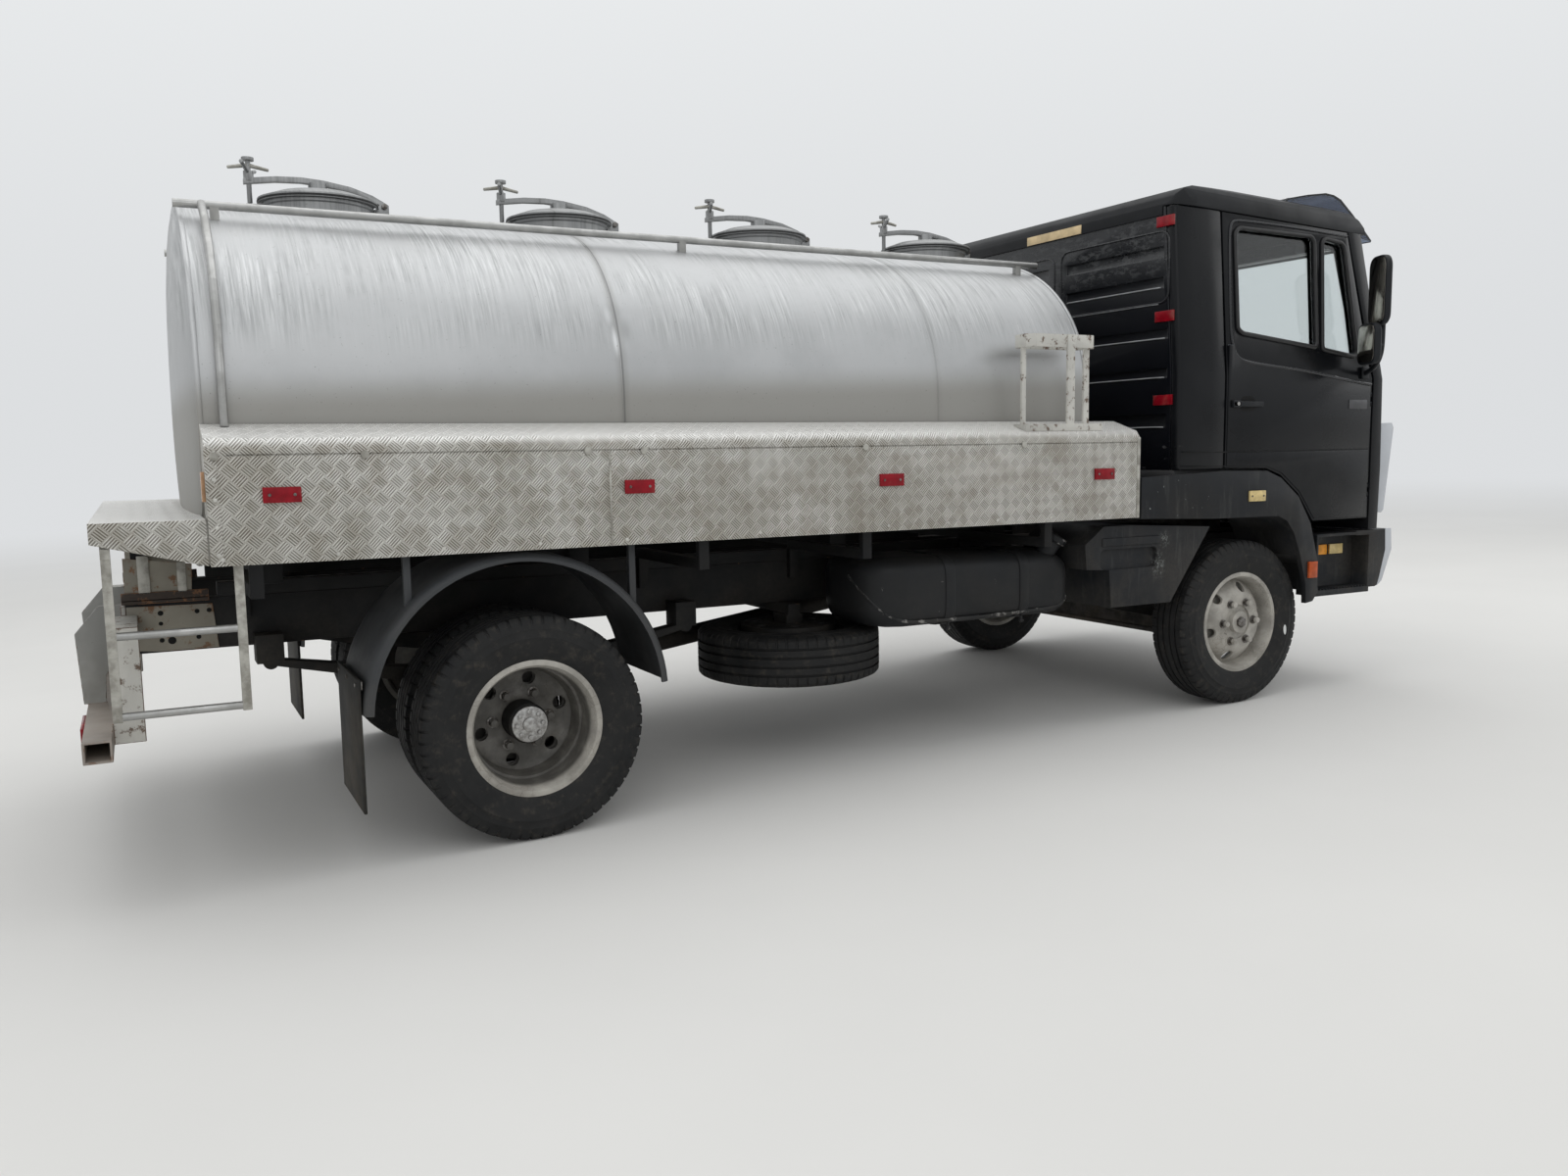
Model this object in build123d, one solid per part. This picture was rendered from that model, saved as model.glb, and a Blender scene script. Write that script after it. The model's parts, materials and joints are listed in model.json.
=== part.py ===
from build123d import *
import math
import os

# Tanker truck: two-axle chassis, day cab, oval stainless tank with four filling holes.
# Chassis frame while modelling: +X forward from the rear axle, +Y left, +Z up, millimetres.
# Everything on the chassis leans nose-down by RAKE, wheels and axles stand level.

# Driving sizes
RAKE = 1.466
BASE_X = 3478.0
HUB_Z_REAR = 388.0
TYRE_R = 395.0
TYRE_W = 222.0
BEAD_R = 228.3
X_SHIFT = -1589.97
GAP = 0.3

# Level wheel positions
SIN_R = math.sin(math.radians(RAKE))
COS_R = math.cos(math.radians(RAKE))
Z_LIFT = TYRE_R - HUB_Z_REAR * COS_R
REAR_X = HUB_Z_REAR * SIN_R
FRONT_X = BASE_X * COS_R + 477.0 * SIN_R
HUB_Z = TYRE_R
FRONT_Y = 927.0
DUAL_OUT_Y = 943.0
DUAL_IN_Y = 695.0
KING_Y = 830.0

# Chassis rails
RAIL_X0, RAIL_X1 = -1224.0, 4250.0
RAIL_Y, RAIL_Z0, RAIL_Z1 = 430.0, 675.0, 855.0
RAIL_T, RAIL_FLANGE = 8.0, 65.0

# Cab shell
SIDE_Y, TOP_Y, BELT_Z, GUTTER_Z = 1075.0, 1020.0, 1640.0, 2400.0
SKIN = 45.0
REAR_WALL_X, WALL_T, WALL_Y = 3000.0, 40.0, 1010.0
DOOR_X0, DOOR_X1 = 3283.0, 4308.0
HINGE_X, HINGE_Y, HINGE_R = 4295.0, 1060.0, 12.0
DOOR_HINGES = [1090.0, 1540.0]
ROOF_SLOPE = 2.36

# Tank
TANK_X0, TANK_X1 = -985.0, 2583.0
TANK_A, TANK_TOP, TANK_MID = 925.0, 2225.0, 1480.0
BELLY_RISE = 90.0
TANK_BELLY = RAIL_Z1 + BELLY_RISE
TANK_POWER = 2.35
MANHOLES = [-473.0, 483.0, 1428.0, 2355.0]
NECK_R, LID_R, NECK_TOP = 195.0, 218.0, 2290.0

# Side lockers
BOX_X0, BOX_X1, BOX_Z0 = -984.0, 2730.0, 1013.0
DECK_SIDE = 172.0
BOX_Y = TANK_A + DECK_SIDE


def prism(plane, pts, a, b):
    """Extrude a polygon: plane names the two axes of pts, a to b runs along the third."""
    if plane == "xz":
        P = [(x, a, z) for x, z in pts]
        d = (0, b - a, 0)
    elif plane == "yz":
        P = [(a, y, z) for y, z in pts]
        d = (b - a, 0, 0)
    else:
        P = [(x, y, a) for x, y in pts]
        d = (0, 0, b - a)
    return Solid.extrude(Face(Wire.make_polygon([Vector(*p) for p in P], close=True)), Vector(*d))


def block(x0, x1, y0, y1, z0, z1):
    """Box from its limits."""
    return Pos((x0 + x1) / 2, (y0 + y1) / 2, (z0 + z1) / 2) * Box(abs(x1 - x0), abs(y1 - y0), abs(z1 - z0))


def rod(p, q, r):
    """Round bar from p to q."""
    p, q = Vector(*p), Vector(*q)
    return Solid.make_cylinder(r, (q - p).length, Plane(origin=p, z_dir=q - p))


def pipe(points, r):
    """Bent round bar: straight runs with a ball at each corner."""
    out = rod(points[0], points[1], r)
    for i in range(1, len(points) - 1):
        out = out + Pos(*points[i]) * Sphere(r) + rod(points[i], points[i + 1], r)
    return out


def lathe_y(pts, x, y, z):
    """Turn a closed outline of (radius, y offset) about a line along Y through x, y, z."""
    P = [Vector(x + r, y + o, z) for r, o in pts]
    f = Face(Wire.make_polygon(P, close=True))
    return Solid.revolve(f, 360, Axis((x, y, z), (0, 1, 0)))


def lathe_z(pts, x, y, z):
    """Turn a closed outline of (radius, height) about an upright line through x, y."""
    P = [Vector(x + r, y, z + o) for r, o in pts]
    f = Face(Wire.make_polygon(P, close=True))
    return Solid.revolve(f, 360, Axis((x, y, z), (0, 0, 1)))


def flip(shape):
    """Mirror across the centre plane."""
    return mirror(shape, about=Plane.XZ)


def both(shape):
    return [shape, flip(shape)]


def fuse(items):
    out = items[0]
    for s in items[1:]:
        out = out + s
    return out


def raked(shape):
    """Chassis frame to the level frame of the finished part."""
    return Pos(X_SHIFT, 0, Z_LIFT) * Rot(0, RAKE, 0) * shape


def level(shape):
    return Pos(X_SHIFT, 0, 0) * shape


NODES = {}


def keep(name, shapes, place=raked):
    if not isinstance(shapes, (list, tuple)):
        shapes = [shapes]
    solids = []
    for s in shapes:
        solids += list(place(s).solids())
    NODES[name] = solids


# Chassis: two channel rails, cross members, cab supports and the spare wheel carrier
def rail(side):
    y, inner = side * RAIL_Y, side * (RAIL_Y - RAIL_FLANGE)
    web = block(RAIL_X0, RAIL_X1, y, y - side * RAIL_T, RAIL_Z0, RAIL_Z1)
    low = block(RAIL_X0, RAIL_X1, y, inner, RAIL_Z0, RAIL_Z0 + RAIL_T)
    high = block(RAIL_X0, RAIL_X1, y, inner, RAIL_Z1 - RAIL_T, RAIL_Z1)
    return web + low + high


keep("frame_rails", [rail(-1), rail(1)])

WEB_Y = RAIL_Y - RAIL_T
# name, x0, x1, z0, z1 of each member between the webs
MEMBERS = [
    ("tail", -1210, -1150, 690, 840),
    ("spring_rear", -640, -580, 700, 830),
    ("axle", 260, 320, 740, 830),
    ("middle", 1020, 1080, 720, 830),
    ("gearbox", 1960, 2020, 720, 830),
    ("front", 4190, 4245, 690, 840),
]
members = [block(x0, x1, -WEB_Y, WEB_Y, z0, z1) for _, x0, x1, z0, z1 in MEMBERS]
cab_rear_mount = fuse([
    block(3020, 3080, -RAIL_Y, -RAIL_Y + 60, RAIL_Z1, 1180),
    block(3020, 3080, RAIL_Y - 60, RAIL_Y, RAIL_Z1, 1180),
    block(3020, 3080, -RAIL_Y, RAIL_Y, 1125, 1180),
])
cab_front_mounts = [block(4150, 4230, s * 370, s * RAIL_Y, RAIL_Z1, 990) for s in (-1, 1)]
SPARE_X, SPARE_Y, SPARE_Z = 1300.0, -470.0, 364.0
SPARE_TOP = SPARE_Z + TYRE_W
spare_carrier = fuse([
    block(SPARE_X - 30, SPARE_X + 30, SPARE_Y - 60, RAIL_Y, 630, RAIL_Z0),
    block(SPARE_X - 40, SPARE_X + 40, SPARE_Y - 60, SPARE_Y + 60, 590, 630),
])
keep("crossmembers", members + [cab_rear_mount, spare_carrier] + cab_front_mounts)

# Power train: one plain block for engine and gearbox, shaft, silencer, air reservoirs
engine = fuse([
    block(3150, 4130, -300, 300, 560, 1140),
    block(2460, 3150, -150, 150, 575, 860),
    block(3300, 3380, -WEB_Y, WEB_Y, 700, 770),
    block(3880, 3960, -WEB_Y, WEB_Y, 700, 770),
])
keep("engine_gearbox", engine)
shaft = level(rod((REAR_X + 200, 0, HUB_Z - 14), (2500, 0, 646), 42))
shaft = shaft - level(block(REAR_X, REAR_X + 231 + GAP, -100, 100, 250, 600)) - raked(block(2460 - GAP, 2700, -150, 150, 500, 900))
NODES["drive_shaft"] = list(shaft.solids())
silencer = fuse([
    rod((1950, 640, 700), (2380, 640, 700), 110),
    pipe([(2370, 600, 700), (2780, 577, 700), (3100, 577, 640), (3200, 300.5, 640)], 28),
    pipe([(1960, 640, 700), (1905, 690, 660), (1890, 900, 620)], 30),
    block(2000, 2030, RAIL_Y, 560, 690, 830),
    block(2300, 2330, RAIL_Y, 560, 690, 830),
]) - block(3150, 4130, -300 - GAP, 300 + GAP, 560, 1140)
keep("silencer", silencer)
air_tanks = []
for x0 in (880.0, 1400.0):
    air_tanks.append(fuse([
        rod((x0, 620, 720), (x0 + 460, 620, 720), 110),
        block(x0 + 90, x0 + 120, RAIL_Y, 540, 690, 830),
        block(x0 + 350, x0 + 380, RAIL_Y, 540, 690, 830),
    ]))
keep("air_tanks", air_tanks)

# Rear axle, level, and leaf springs with their hangers
rear_axle = fuse([
    rod((REAR_X, -639.7, HUB_Z), (REAR_X, 639.7, HUB_Z), 62),
    rod((REAR_X, -95, HUB_Z), (REAR_X, 95, HUB_Z), 185),
    rod((REAR_X + 100, 0, HUB_Z), (REAR_X + 231, 0, HUB_Z), 75),
])
keep("rear_axle", rear_axle, level)


def spring(cx, cz, half, rise, y, hang_z):
    """Leaf pack across y +-35, centre bottom at cz, eyes up by rise, hangers up to hang_z."""
    low = [(-half, rise), (-half * 0.5, rise * 0.36), (-100, 0), (100, 0), (half * 0.5, rise * 0.36), (half, rise)]
    high = [(half, rise + 22), (half * 0.5, rise * 0.36 + 48), (100, 70), (-100, 70), (-half * 0.5, rise * 0.36 + 48),
            (-half, rise + 22)]
    pts = [(cx + x, cz + z) for x, z in low + high]
    pack = prism("xz", pts, y - 35, y + 35)
    eyes = [rod((cx + s * half, y - 35, cz + rise + 12), (cx + s * half, y + 35, cz + rise + 12), 26) for s in (-1, 1)]
    return fuse([pack] + eyes)


springs = []
for s in (-1, 1):
    y = s * 500
    pack = spring(0, 472, 790, 140, y, 700)
    seat = block(-70, 70, y - 35, y + 35, 430, 472)
    hang = [block(x - 45, x + 45, s * RAIL_Y, s * 535, 620, 720) for x in (-790, 790)]
    springs.append(("rear", fuse([pack, seat] + hang)))
for s in (-1, 1):
    y = s * 500
    pack = spring(BASE_X, 462, 620, 120, y, 700)
    hang = [block(x - 40, x + 40, s * RAIL_Y, s * 535, 590, 720) for x in (BASE_X - 620, BASE_X + 620)]
    springs.append(("front", fuse([pack] + hang)))
axle_clear = level(fuse([
    rod((REAR_X, -700, HUB_Z), (REAR_X, 700, HUB_Z), 62 + GAP),
    block(FRONT_X - 41, FRONT_X + 41, -800, 800, HUB_Z - 115, HUB_Z - 13 + GAP),
]))
NODES["leaf_springs"] = []
for _, s in springs:
    NODES["leaf_springs"] += list((raked(s) - axle_clear).solids())

# side distance and height over the hub of the swept-up axle end
AXLE_EYE = [(760, -95), (760, -13), (800, 35), (815, 35), (815, -29), (786, -35)]
front_axle = fuse([
    block(FRONT_X - 40, FRONT_X + 40, -760, 760, HUB_Z - 95, HUB_Z - 13),
    prism("yz", [(-a, HUB_Z + b) for a, b in AXLE_EYE], FRONT_X - 35, FRONT_X + 35),
    prism("yz", [(a, HUB_Z + b) for a, b in AXLE_EYE], FRONT_X - 35, FRONT_X + 35),
    rod((FRONT_X, -KING_Y, HUB_Z - 42), (FRONT_X, -KING_Y, HUB_Z + 42), 32),
    rod((FRONT_X, KING_Y, HUB_Z - 42), (FRONT_X, KING_Y, HUB_Z + 42), 32),
])
keep("front_axle", front_axle, level)

# Steering knuckles: fork round the axle eye, outer web, arm back to the tie rod
ARM_X, ARM_Y = -190.0, 26.0


def knuckle(s):
    y = s * KING_Y
    arm = prism("xy", [(FRONT_X + 20, y - s * 20), (FRONT_X + 20, y + s * 20), (FRONT_X + ARM_X - 20, y - s * 8),
                       (FRONT_X + ARM_X - 20, y - s * 46)], HUB_Z - 98, HUB_Z - 80)
    return fuse([
        rod((FRONT_X, y, HUB_Z + 42.6), (FRONT_X, y, HUB_Z + 90), 37),
        rod((FRONT_X, y, HUB_Z - 98), (FRONT_X, y, HUB_Z - 42.6), 37),
        block(FRONT_X - 45, FRONT_X + 45, y + s * 34, y + s * 38, HUB_Z - 98, HUB_Z + 90),
        arm,
    ])


keep("knuckle_left", knuckle(1), level)
keep("knuckle_right", knuckle(-1), level)
TIE_Z = HUB_Z - 79.7
tie_y = KING_Y - ARM_Y
tie_rod = fuse([
    rod((FRONT_X + ARM_X, -tie_y, TIE_Z), (FRONT_X + ARM_X, -tie_y, TIE_Z + 34), 18),
    rod((FRONT_X + ARM_X, tie_y, TIE_Z), (FRONT_X + ARM_X, tie_y, TIE_Z + 34), 18),
    rod((FRONT_X + ARM_X, -tie_y, TIE_Z + 17), (FRONT_X + ARM_X, tie_y, TIE_Z + 17), 13),
])
keep("tie_rod", tie_rod, level)

# Wheels. Tyre outline: radius, offset from the middle plane
TYRE_OUT = [(BEAD_R, -82), (BEAD_R + 15, -83.5), (TYRE_R - 90, -111), (TYRE_R - 27, -107), (TYRE_R, -88),
            (TYRE_R, 88), (TYRE_R - 27, 107), (TYRE_R - 90, 111), (BEAD_R + 15, 83.5), (BEAD_R, 82)]
BARREL = [(BEAD_R - GAP, -84), (241, -84), (241, -90.5), (222, -90.5), (212, -70), (205, -40), (205, 40),
          (212, 70), (222, 90.5), (241, 90.5), (241, 84), (BEAD_R - GAP, 84)]


def tyre(x, y, z):
    return lathe_y(TYRE_OUT, x, y, z)


def holes_y(x, y0, y1, z, pcr, count, r, turn=0.0):
    out = []
    for i in range(count):
        a = math.radians(turn + 360 * i / count)
        out.append(rod((x + pcr * math.cos(a), y0, z + pcr * math.sin(a)), (x + pcr * math.cos(a), y1, z + pcr * math.sin(a)), r))
    return out


def disc(x, y, z, s, prof, vent_r, stud_y):
    """Wheel disc: profile radius, offset towards the outside; six vents, six studs."""
    d = lathe_y([(r, s * o) for r, o in prof], x, y, z)
    for h in holes_y(x, y - 200, y + 200, z, vent_r, 6, 24, 15):
        d = d - h
    return fuse([d] + holes_y(x, y + s * stud_y, y + s * (stud_y + 34), z, 102.5, 6, 13, 15 + 15 * s))


FRONT_DISC = [(82, 66), (82, 76), (128, 78), (150, 70), (190, 32), (208, 12), (208, -2), (186, 16), (146, 58), (126, 66)]
REAR_DISC = [(70, -104), (70, -114), (206, -114), (206, -30), (196, -30), (184, -92), (160, -104)]


def front_wheel(s):
    y = s * FRONT_Y
    rim = lathe_y(BARREL, FRONT_X, y, HUB_Z)
    d = disc(FRONT_X, y, HUB_Z, s, FRONT_DISC, 168, 76)
    hub = fuse([
        rod((FRONT_X, y - s * 58.7, HUB_Z), (FRONT_X, y + s * 66, HUB_Z), 95),
        rod((FRONT_X, y - s * 58.7, HUB_Z), (FRONT_X, y + s * 20, HUB_Z), 150),
        rod((FRONT_X, y + s * 66, HUB_Z), (FRONT_X, y + s * 92, HUB_Z), 52),
        rod((FRONT_X, y + s * 92, HUB_Z), (FRONT_X, y + s * 104, HUB_Z), 20),
    ])
    return fuse([rim, d, hub])


def rear_wheel(s):
    rim_out = lathe_y(BARREL, REAR_X, s * DUAL_OUT_Y, HUB_Z)
    rim_in = lathe_y(BARREL, REAR_X, s * DUAL_IN_Y, HUB_Z)
    d_out = disc(REAR_X, s * DUAL_OUT_Y, HUB_Z, s, REAR_DISC, 150, -104)
    d_in = lathe_y([(r, -s * o) for r, o in REAR_DISC], REAR_X, s * DUAL_IN_Y, HUB_Z)
    for h in holes_y(REAR_X, s * 600, s * 900, HUB_Z, 150, 6, 24, 15):
        d_in = d_in - h
    mid = s * (DUAL_OUT_Y + DUAL_IN_Y) / 2
    hub = fuse([
        rod((REAR_X, s * 640, HUB_Z), (REAR_X, mid, HUB_Z), 90),
        rod((REAR_X, s * 640, HUB_Z), (REAR_X, s * 760, HUB_Z), 165),
        rod((REAR_X, mid, HUB_Z), (REAR_X, s * 940, HUB_Z), 68),
        rod((REAR_X, s * 940, HUB_Z), (REAR_X, s * 954, HUB_Z), 60),
        rod((REAR_X, mid - 12, HUB_Z), (REAR_X, mid + 12, HUB_Z), 130),
    ])
    return fuse([rim_out, rim_in, d_out, d_in, hub])


for side, s in (("left", 1), ("right", -1)):
    keep("front_tyre_" + side, tyre(FRONT_X, s * FRONT_Y, HUB_Z), level)
    keep("front_rim_" + side, front_wheel(s), level)
    keep("rear_tyres_" + side, [tyre(REAR_X, s * DUAL_OUT_Y, HUB_Z), tyre(REAR_X, s * DUAL_IN_Y, HUB_Z)], level)
    keep("rear_rims_" + side, rear_wheel(s), level)

# Spare wheel lying flat under the right rail
keep("spare_tyre", lathe_z(TYRE_OUT, SPARE_X, SPARE_Y, SPARE_Z + TYRE_W / 2))
spare_rim = lathe_z(BARREL, SPARE_X, SPARE_Y, SPARE_Z + TYRE_W / 2)
spare_disc = lathe_z([(r, -o) for r, o in REAR_DISC], SPARE_X, SPARE_Y, SPARE_Z + TYRE_W / 2)
SPARE_MID = SPARE_Z + TYRE_W / 2
spare_post = rod((SPARE_X, SPARE_Y, SPARE_MID + 100), (SPARE_X, SPARE_Y, 590), 74)
for i in range(6):
    a = math.radians(15 + 60 * i)
    hx, hy = SPARE_X + 150 * math.cos(a), SPARE_Y + 150 * math.sin(a)
    spare_disc = spare_disc - rod((hx, hy, SPARE_MID), (hx, hy, SPARE_MID + 200), 24)
keep("spare_rim", fuse([spare_rim, spare_disc, spare_post]))

# Fuel tank on the right rail with brackets, straps and a filler neck
fuel_pts = [(1490, 592), (2390, 592), (2442, 622), (2455, 700), (2424, 830), (2364, 880), (1460, 890), (1418, 850),
            (1404, 700), (1428, 622)]
fuel = prism("xz", fuel_pts, -985, -520)
straps = [block(x, x + 50, -990, -515, 587, 895) - block(x - 1, x + 51, -985, -520, 592, 890) for x in (1770, 2160)]
holders = [block(x, x + 50, -520, -RAIL_Y, 690, 840) for x in (1770, 2160)]
filler = rod((2340, -900, 840), (2385, -935, 925), 45) + rod((2385, -935, 925), (2396, -944, 946), 56)
keep("fuel_tank", fuse([fuel, filler] + straps + holders))

# Cab shell: side slab cut by the outlines of the door and the corner post
SIDE_OUT = [(-SIDE_Y, 880), (-SIDE_Y, BELT_Z), (-TOP_Y, GUTTER_Z), (-TOP_Y + SKIN, GUTTER_Z), (-SIDE_Y + SKIN, BELT_Z),
            (-SIDE_Y + SKIN, 880)]
side_slab = prism("yz", SIDE_OUT, 2900, 4500)


def gutter(x):
    return GUTTER_Z - (x - REAR_WALL_X) * math.tan(math.radians(ROOF_SLOPE))


DOOR_OUT = [(DOOR_X0, 1220), (3560, 1214), (3660, 1180), (3790, 1086), (3900, 950), (DOOR_X1, 950), (DOOR_X1, BELT_Z - 10),
            (DOOR_X1 - 29, BELT_Z + 70), (4142, gutter(4142) - 6), (DOOR_X0, gutter(DOOR_X0) - 6)]
MAIN_WIN = [(3360, 1858), (3388, 1838), (3886, 1786), (3898, 1806), (3900, 2290), (3878, 2312), (3388, 2318), (3360, 2294)]
QUARTER_WIN = [(3942, 1778), (4168, 1748), (4190, 1770), (4118, 2274), (4096, 2296), (3976, 2308), (3956, 2290),
               (3938, 1800)]


def slab_cut(pts):
    return side_slab & prism("xz", pts, -1200, -800)


door = slab_cut(DOOR_OUT)
for w in (MAIN_WIN, QUARTER_WIN):
    door = door - prism("xz", w, -1200, -800)
door = door - prism("xy", [(DOOR_X1 - 6, -SIDE_Y - 1), (DOOR_X1 + 1, -SIDE_Y - 1), (DOOR_X1 + 1, -SIDE_Y + 6)], 900, BELT_Z)
for hz in DOOR_HINGES:
    door = door - block(HINGE_X - 17, HINGE_X + 20, -SIDE_Y - 1, -SIDE_Y + SKIN + 1, hz - 35, hz + 35)
    door = door + block(HINGE_X - 25, HINGE_X, -HINGE_Y - 8, -HINGE_Y + 8, hz - 12, hz + 12)
    door = door + rod((HINGE_X, -HINGE_Y, hz - 12), (HINGE_X, -HINGE_Y, hz + 12), HINGE_R)
GLASS_SLAB = prism("yz", [(-SIDE_Y + 18, 1600), (-SIDE_Y + 18, BELT_Z), (-TOP_Y + 18, GUTTER_Z), (-TOP_Y + 24, GUTTER_Z),
                          (-SIDE_Y + 24, BELT_Z), (-SIDE_Y + 24, 1600)], 3000, 4400)


def shrink(pts, d):
    cx = sum(p[0] for p in pts) / len(pts)
    cz = sum(p[1] for p in pts) / len(pts)
    return [(x - d * (1 if x > cx else -1), z - d * (1 if z > cz else -1)) for x, z in pts]


glass = [GLASS_SLAB & prism("xz", shrink(w, GAP), -1200, -800) for w in (MAIN_WIN, QUARTER_WIN)]
keep("door_right", door)
keep("door_left", flip(door))
keep("door_glass_right", glass)
keep("door_glass_left", [flip(g) for g in glass])

POST_PLAN = [(REAR_WALL_X, -WALL_Y), (REAR_WALL_X, -WALL_Y - 36), (REAR_WALL_X + 12, -WALL_Y - 50),
             (REAR_WALL_X + 95, -SIDE_Y + 5), (REAR_WALL_X + 185, -SIDE_Y), (3277, -SIDE_Y), (3277, -SIDE_Y + SKIN),
             (REAR_WALL_X + WALL_T + 15, -SIDE_Y + SKIN), (REAR_WALL_X + WALL_T, -WALL_Y)]
post_low = prism("xy", POST_PLAN, 1215, BELT_Z)
post_top_plan = [(x, y + SIDE_Y - TOP_Y) for x, y in POST_PLAN]
lo_face = Face(Wire.make_polygon([Vector(x, y, BELT_Z) for x, y in POST_PLAN], close=True))
hi_face = Face(Wire.make_polygon([Vector(x, y, GUTTER_Z) for x, y in post_top_plan], close=True))
post_high = Solid.make_loft([lo_face.outer_wire(), hi_face.outer_wire()], True)
post = post_low + post_high
post_cap = prism("xz", [(2900, 1100), (2900, gutter(2900) - GAP), (3400, gutter(3400) - GAP), (3400, 1100)], -1200, -800)
post = post & post_cap
keep("cab_posts", both(post))

# Rear wall with three pressed panels and five ribs each
WALL_TOP_Y = WALL_Y - SIDE_Y + TOP_Y
WALL_OUT = [(-WALL_Y, 1215), (-WALL_Y, BELT_Z), (-WALL_TOP_Y, GUTTER_Z), (WALL_TOP_Y, GUTTER_Z), (WALL_Y, BELT_Z),
            (WALL_Y, 1215)]
wall = prism("yz", WALL_OUT, REAR_WALL_X, REAR_WALL_X + WALL_T)
# ribs: z0, z1 of each groove, and its outer end
RIBS = [(2176, 2222, 948), (2040, 2085, 950), (1812, 1854, 980), (1636, 1676, 980), (1411, 1469, 980)]
for z0, z1, end in RIBS:
    for y0, y1 in ((-end, -300), (-165, 165), (300, end)):
        wall = wall - block(REAR_WALL_X - 1, REAR_WALL_X + 12, y0, y1, z0, z1)
wall = wall & prism("xz", [(2900, 1100), (2900, gutter(2900) - GAP), (3400, gutter(3400) - GAP), (3400, 1100)], -1200, 1200)
keep("cab_rear_wall", wall)

# Roof in its own tilted frame: side outline and cross outline intersected, hollow below
ROOF = Pos(REAR_WALL_X, 0, GUTTER_Z) * Rot(0, ROOF_SLOPE, 0)
ROOF_SIDE = [(-6, -40), (-6, 10), (10, 44), (48, 76), (110, 94), (230, 104), (500, 118), (800, 127), (1060, 128),
             (1150, 108), (1225, 70), (1262, 34), (1288, 0), (-GAP, 0), (1.2, -40)]
ROOF_CROSS = [(-1023, 0), (-1027, 28), (-1021, 62), (-1003, 92), (-960, 113), (-880, 124), (-600, 130), (0, 132),
              (600, 130), (880, 124), (960, 113), (1003, 92), (1021, 62), (1027, 28), (1023, 0), (940, 0), (940, -40),
              (-940, -40), (-940, 0)]
ROOF_PLAN = [(-8, -960), (6, -998), (40, -1014), (120, -1024), (400, -1030), (1300, -1030), (1300, 1030), (400, 1030),
             (120, 1024), (40, 1014), (6, 998), (-8, 960)]
ROOF_IN_SIDE = [(42, -1), (42, 30), (90, 60), (1140, 80), (1195, 40), (1212, -1)]
ROOF_IN_CROSS = [(-962, -1), (-962, 40), (-880, 84), (0, 96), (880, 84), (962, 40), (962, -1)]
roof_full = (prism("xz", ROOF_SIDE, -1100, 1100) & prism("yz", ROOF_CROSS, -100, 1400)
             & prism("xy", ROOF_PLAN, -60, 200))
roof = roof_full - (prism("xz", ROOF_IN_SIDE, -1100, 1100) & prism("yz", ROOF_IN_CROSS, -100, 1400))
keep("cab_roof", ROOF * roof)

# Front wall with windscreen opening, leaning posts and the panel below
FRONT_SIDE = [(4318, 890), (4318, BELT_Z), (4150, gutter(4150) - GAP), (4244, gutter(4244) - GAP), (4384, BELT_Z),
              (4394, 1200), (4386, 890)]
FRONT_CROSS = [(-SIDE_Y, 880), (-SIDE_Y, BELT_Z), (-TOP_Y, GUTTER_Z), (TOP_Y, GUTTER_Z), (SIDE_Y, BELT_Z), (SIDE_Y, 880)]
front = prism("xz", FRONT_SIDE, -1100, 1100) & prism("yz", FRONT_CROSS, 4000, 4500)
SCREEN = [(-955, 1668), (-970, 1700), (-926, 2266), (-900, 2290), (900, 2290), (926, 2266), (970, 1700), (955, 1668)]
front = front - prism("yz", SCREEN, 4000, 4500)
for s in (-1, 1):
    for hz in DOOR_HINGES:
        for z0, z1 in ((hz - 32, hz - 12 - GAP), (hz + 12 + GAP, hz + 32)):
            front = front + rod((HINGE_X, s * HINGE_Y, z0), (HINGE_X, s * HINGE_Y, z1), HINGE_R)
            front = front + block(HINGE_X, 4320, s * (HINGE_Y - 8), s * (HINGE_Y + 8), z0, z1)
keep("cab_front", front)
pane_side = [(4352, 1600), (4352, 1640), (4205, 2370), (4213, 2370), (4360, 1640), (4360, 1600)]
pane_cross = [(y - math.copysign(GAP, y), z + (GAP if z < 1900 else -GAP)) for y, z in SCREEN]
keep("windscreen", prism("xz", pane_side, -1100, 1100) & prism("yz", pane_cross, 4000, 4500))

# Floor with engine hump, dashboard with steering wheel, two seats
floor = fuse([
    block(REAR_WALL_X, 3760, -1022, 1022, 1180, 1215),
    block(REAR_WALL_X, 3275, -1030, 1030, 1180, 1215),
    block(3735, 3760, -1022, 1022, 990, 1215),
    block(3735, 4318, -1022, 1022, 990, 1025),
])
floor = floor - block(2990, 4290, -345, 345, 900, 1300)
hump = (block(REAR_WALL_X + WALL_T, 4318, -375, 375, 1180, 1400) + block(3735, 4318, -375, 375, 990, 1200)
        - block(2990, 4290, -345, 345, 900, 1370))
floor = floor + hump
keep("cab_floor", floor)
dash_side = [(4060, 1420), (4030, 1560), (4070, 1655), (4300, 1655), (4318, BELT_Z), (4318, 1420)]
dash = prism("xz", dash_side, -1000, 1000)
WHEEL_C = (3900.0, 560.0, 1660.0)
column = rod((4045, 560, 1560), WHEEL_C, 26)
ring = Pos(*WHEEL_C) * Rot(0, -56, 0) * Torus(215, 15, major_angle=360)
hubcap = Pos(*WHEEL_C) * Rot(0, -56, 0) * Box(60, 420, 16)
keep("dashboard", fuse([dash, column, ring, hubcap]))
seats = []
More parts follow.
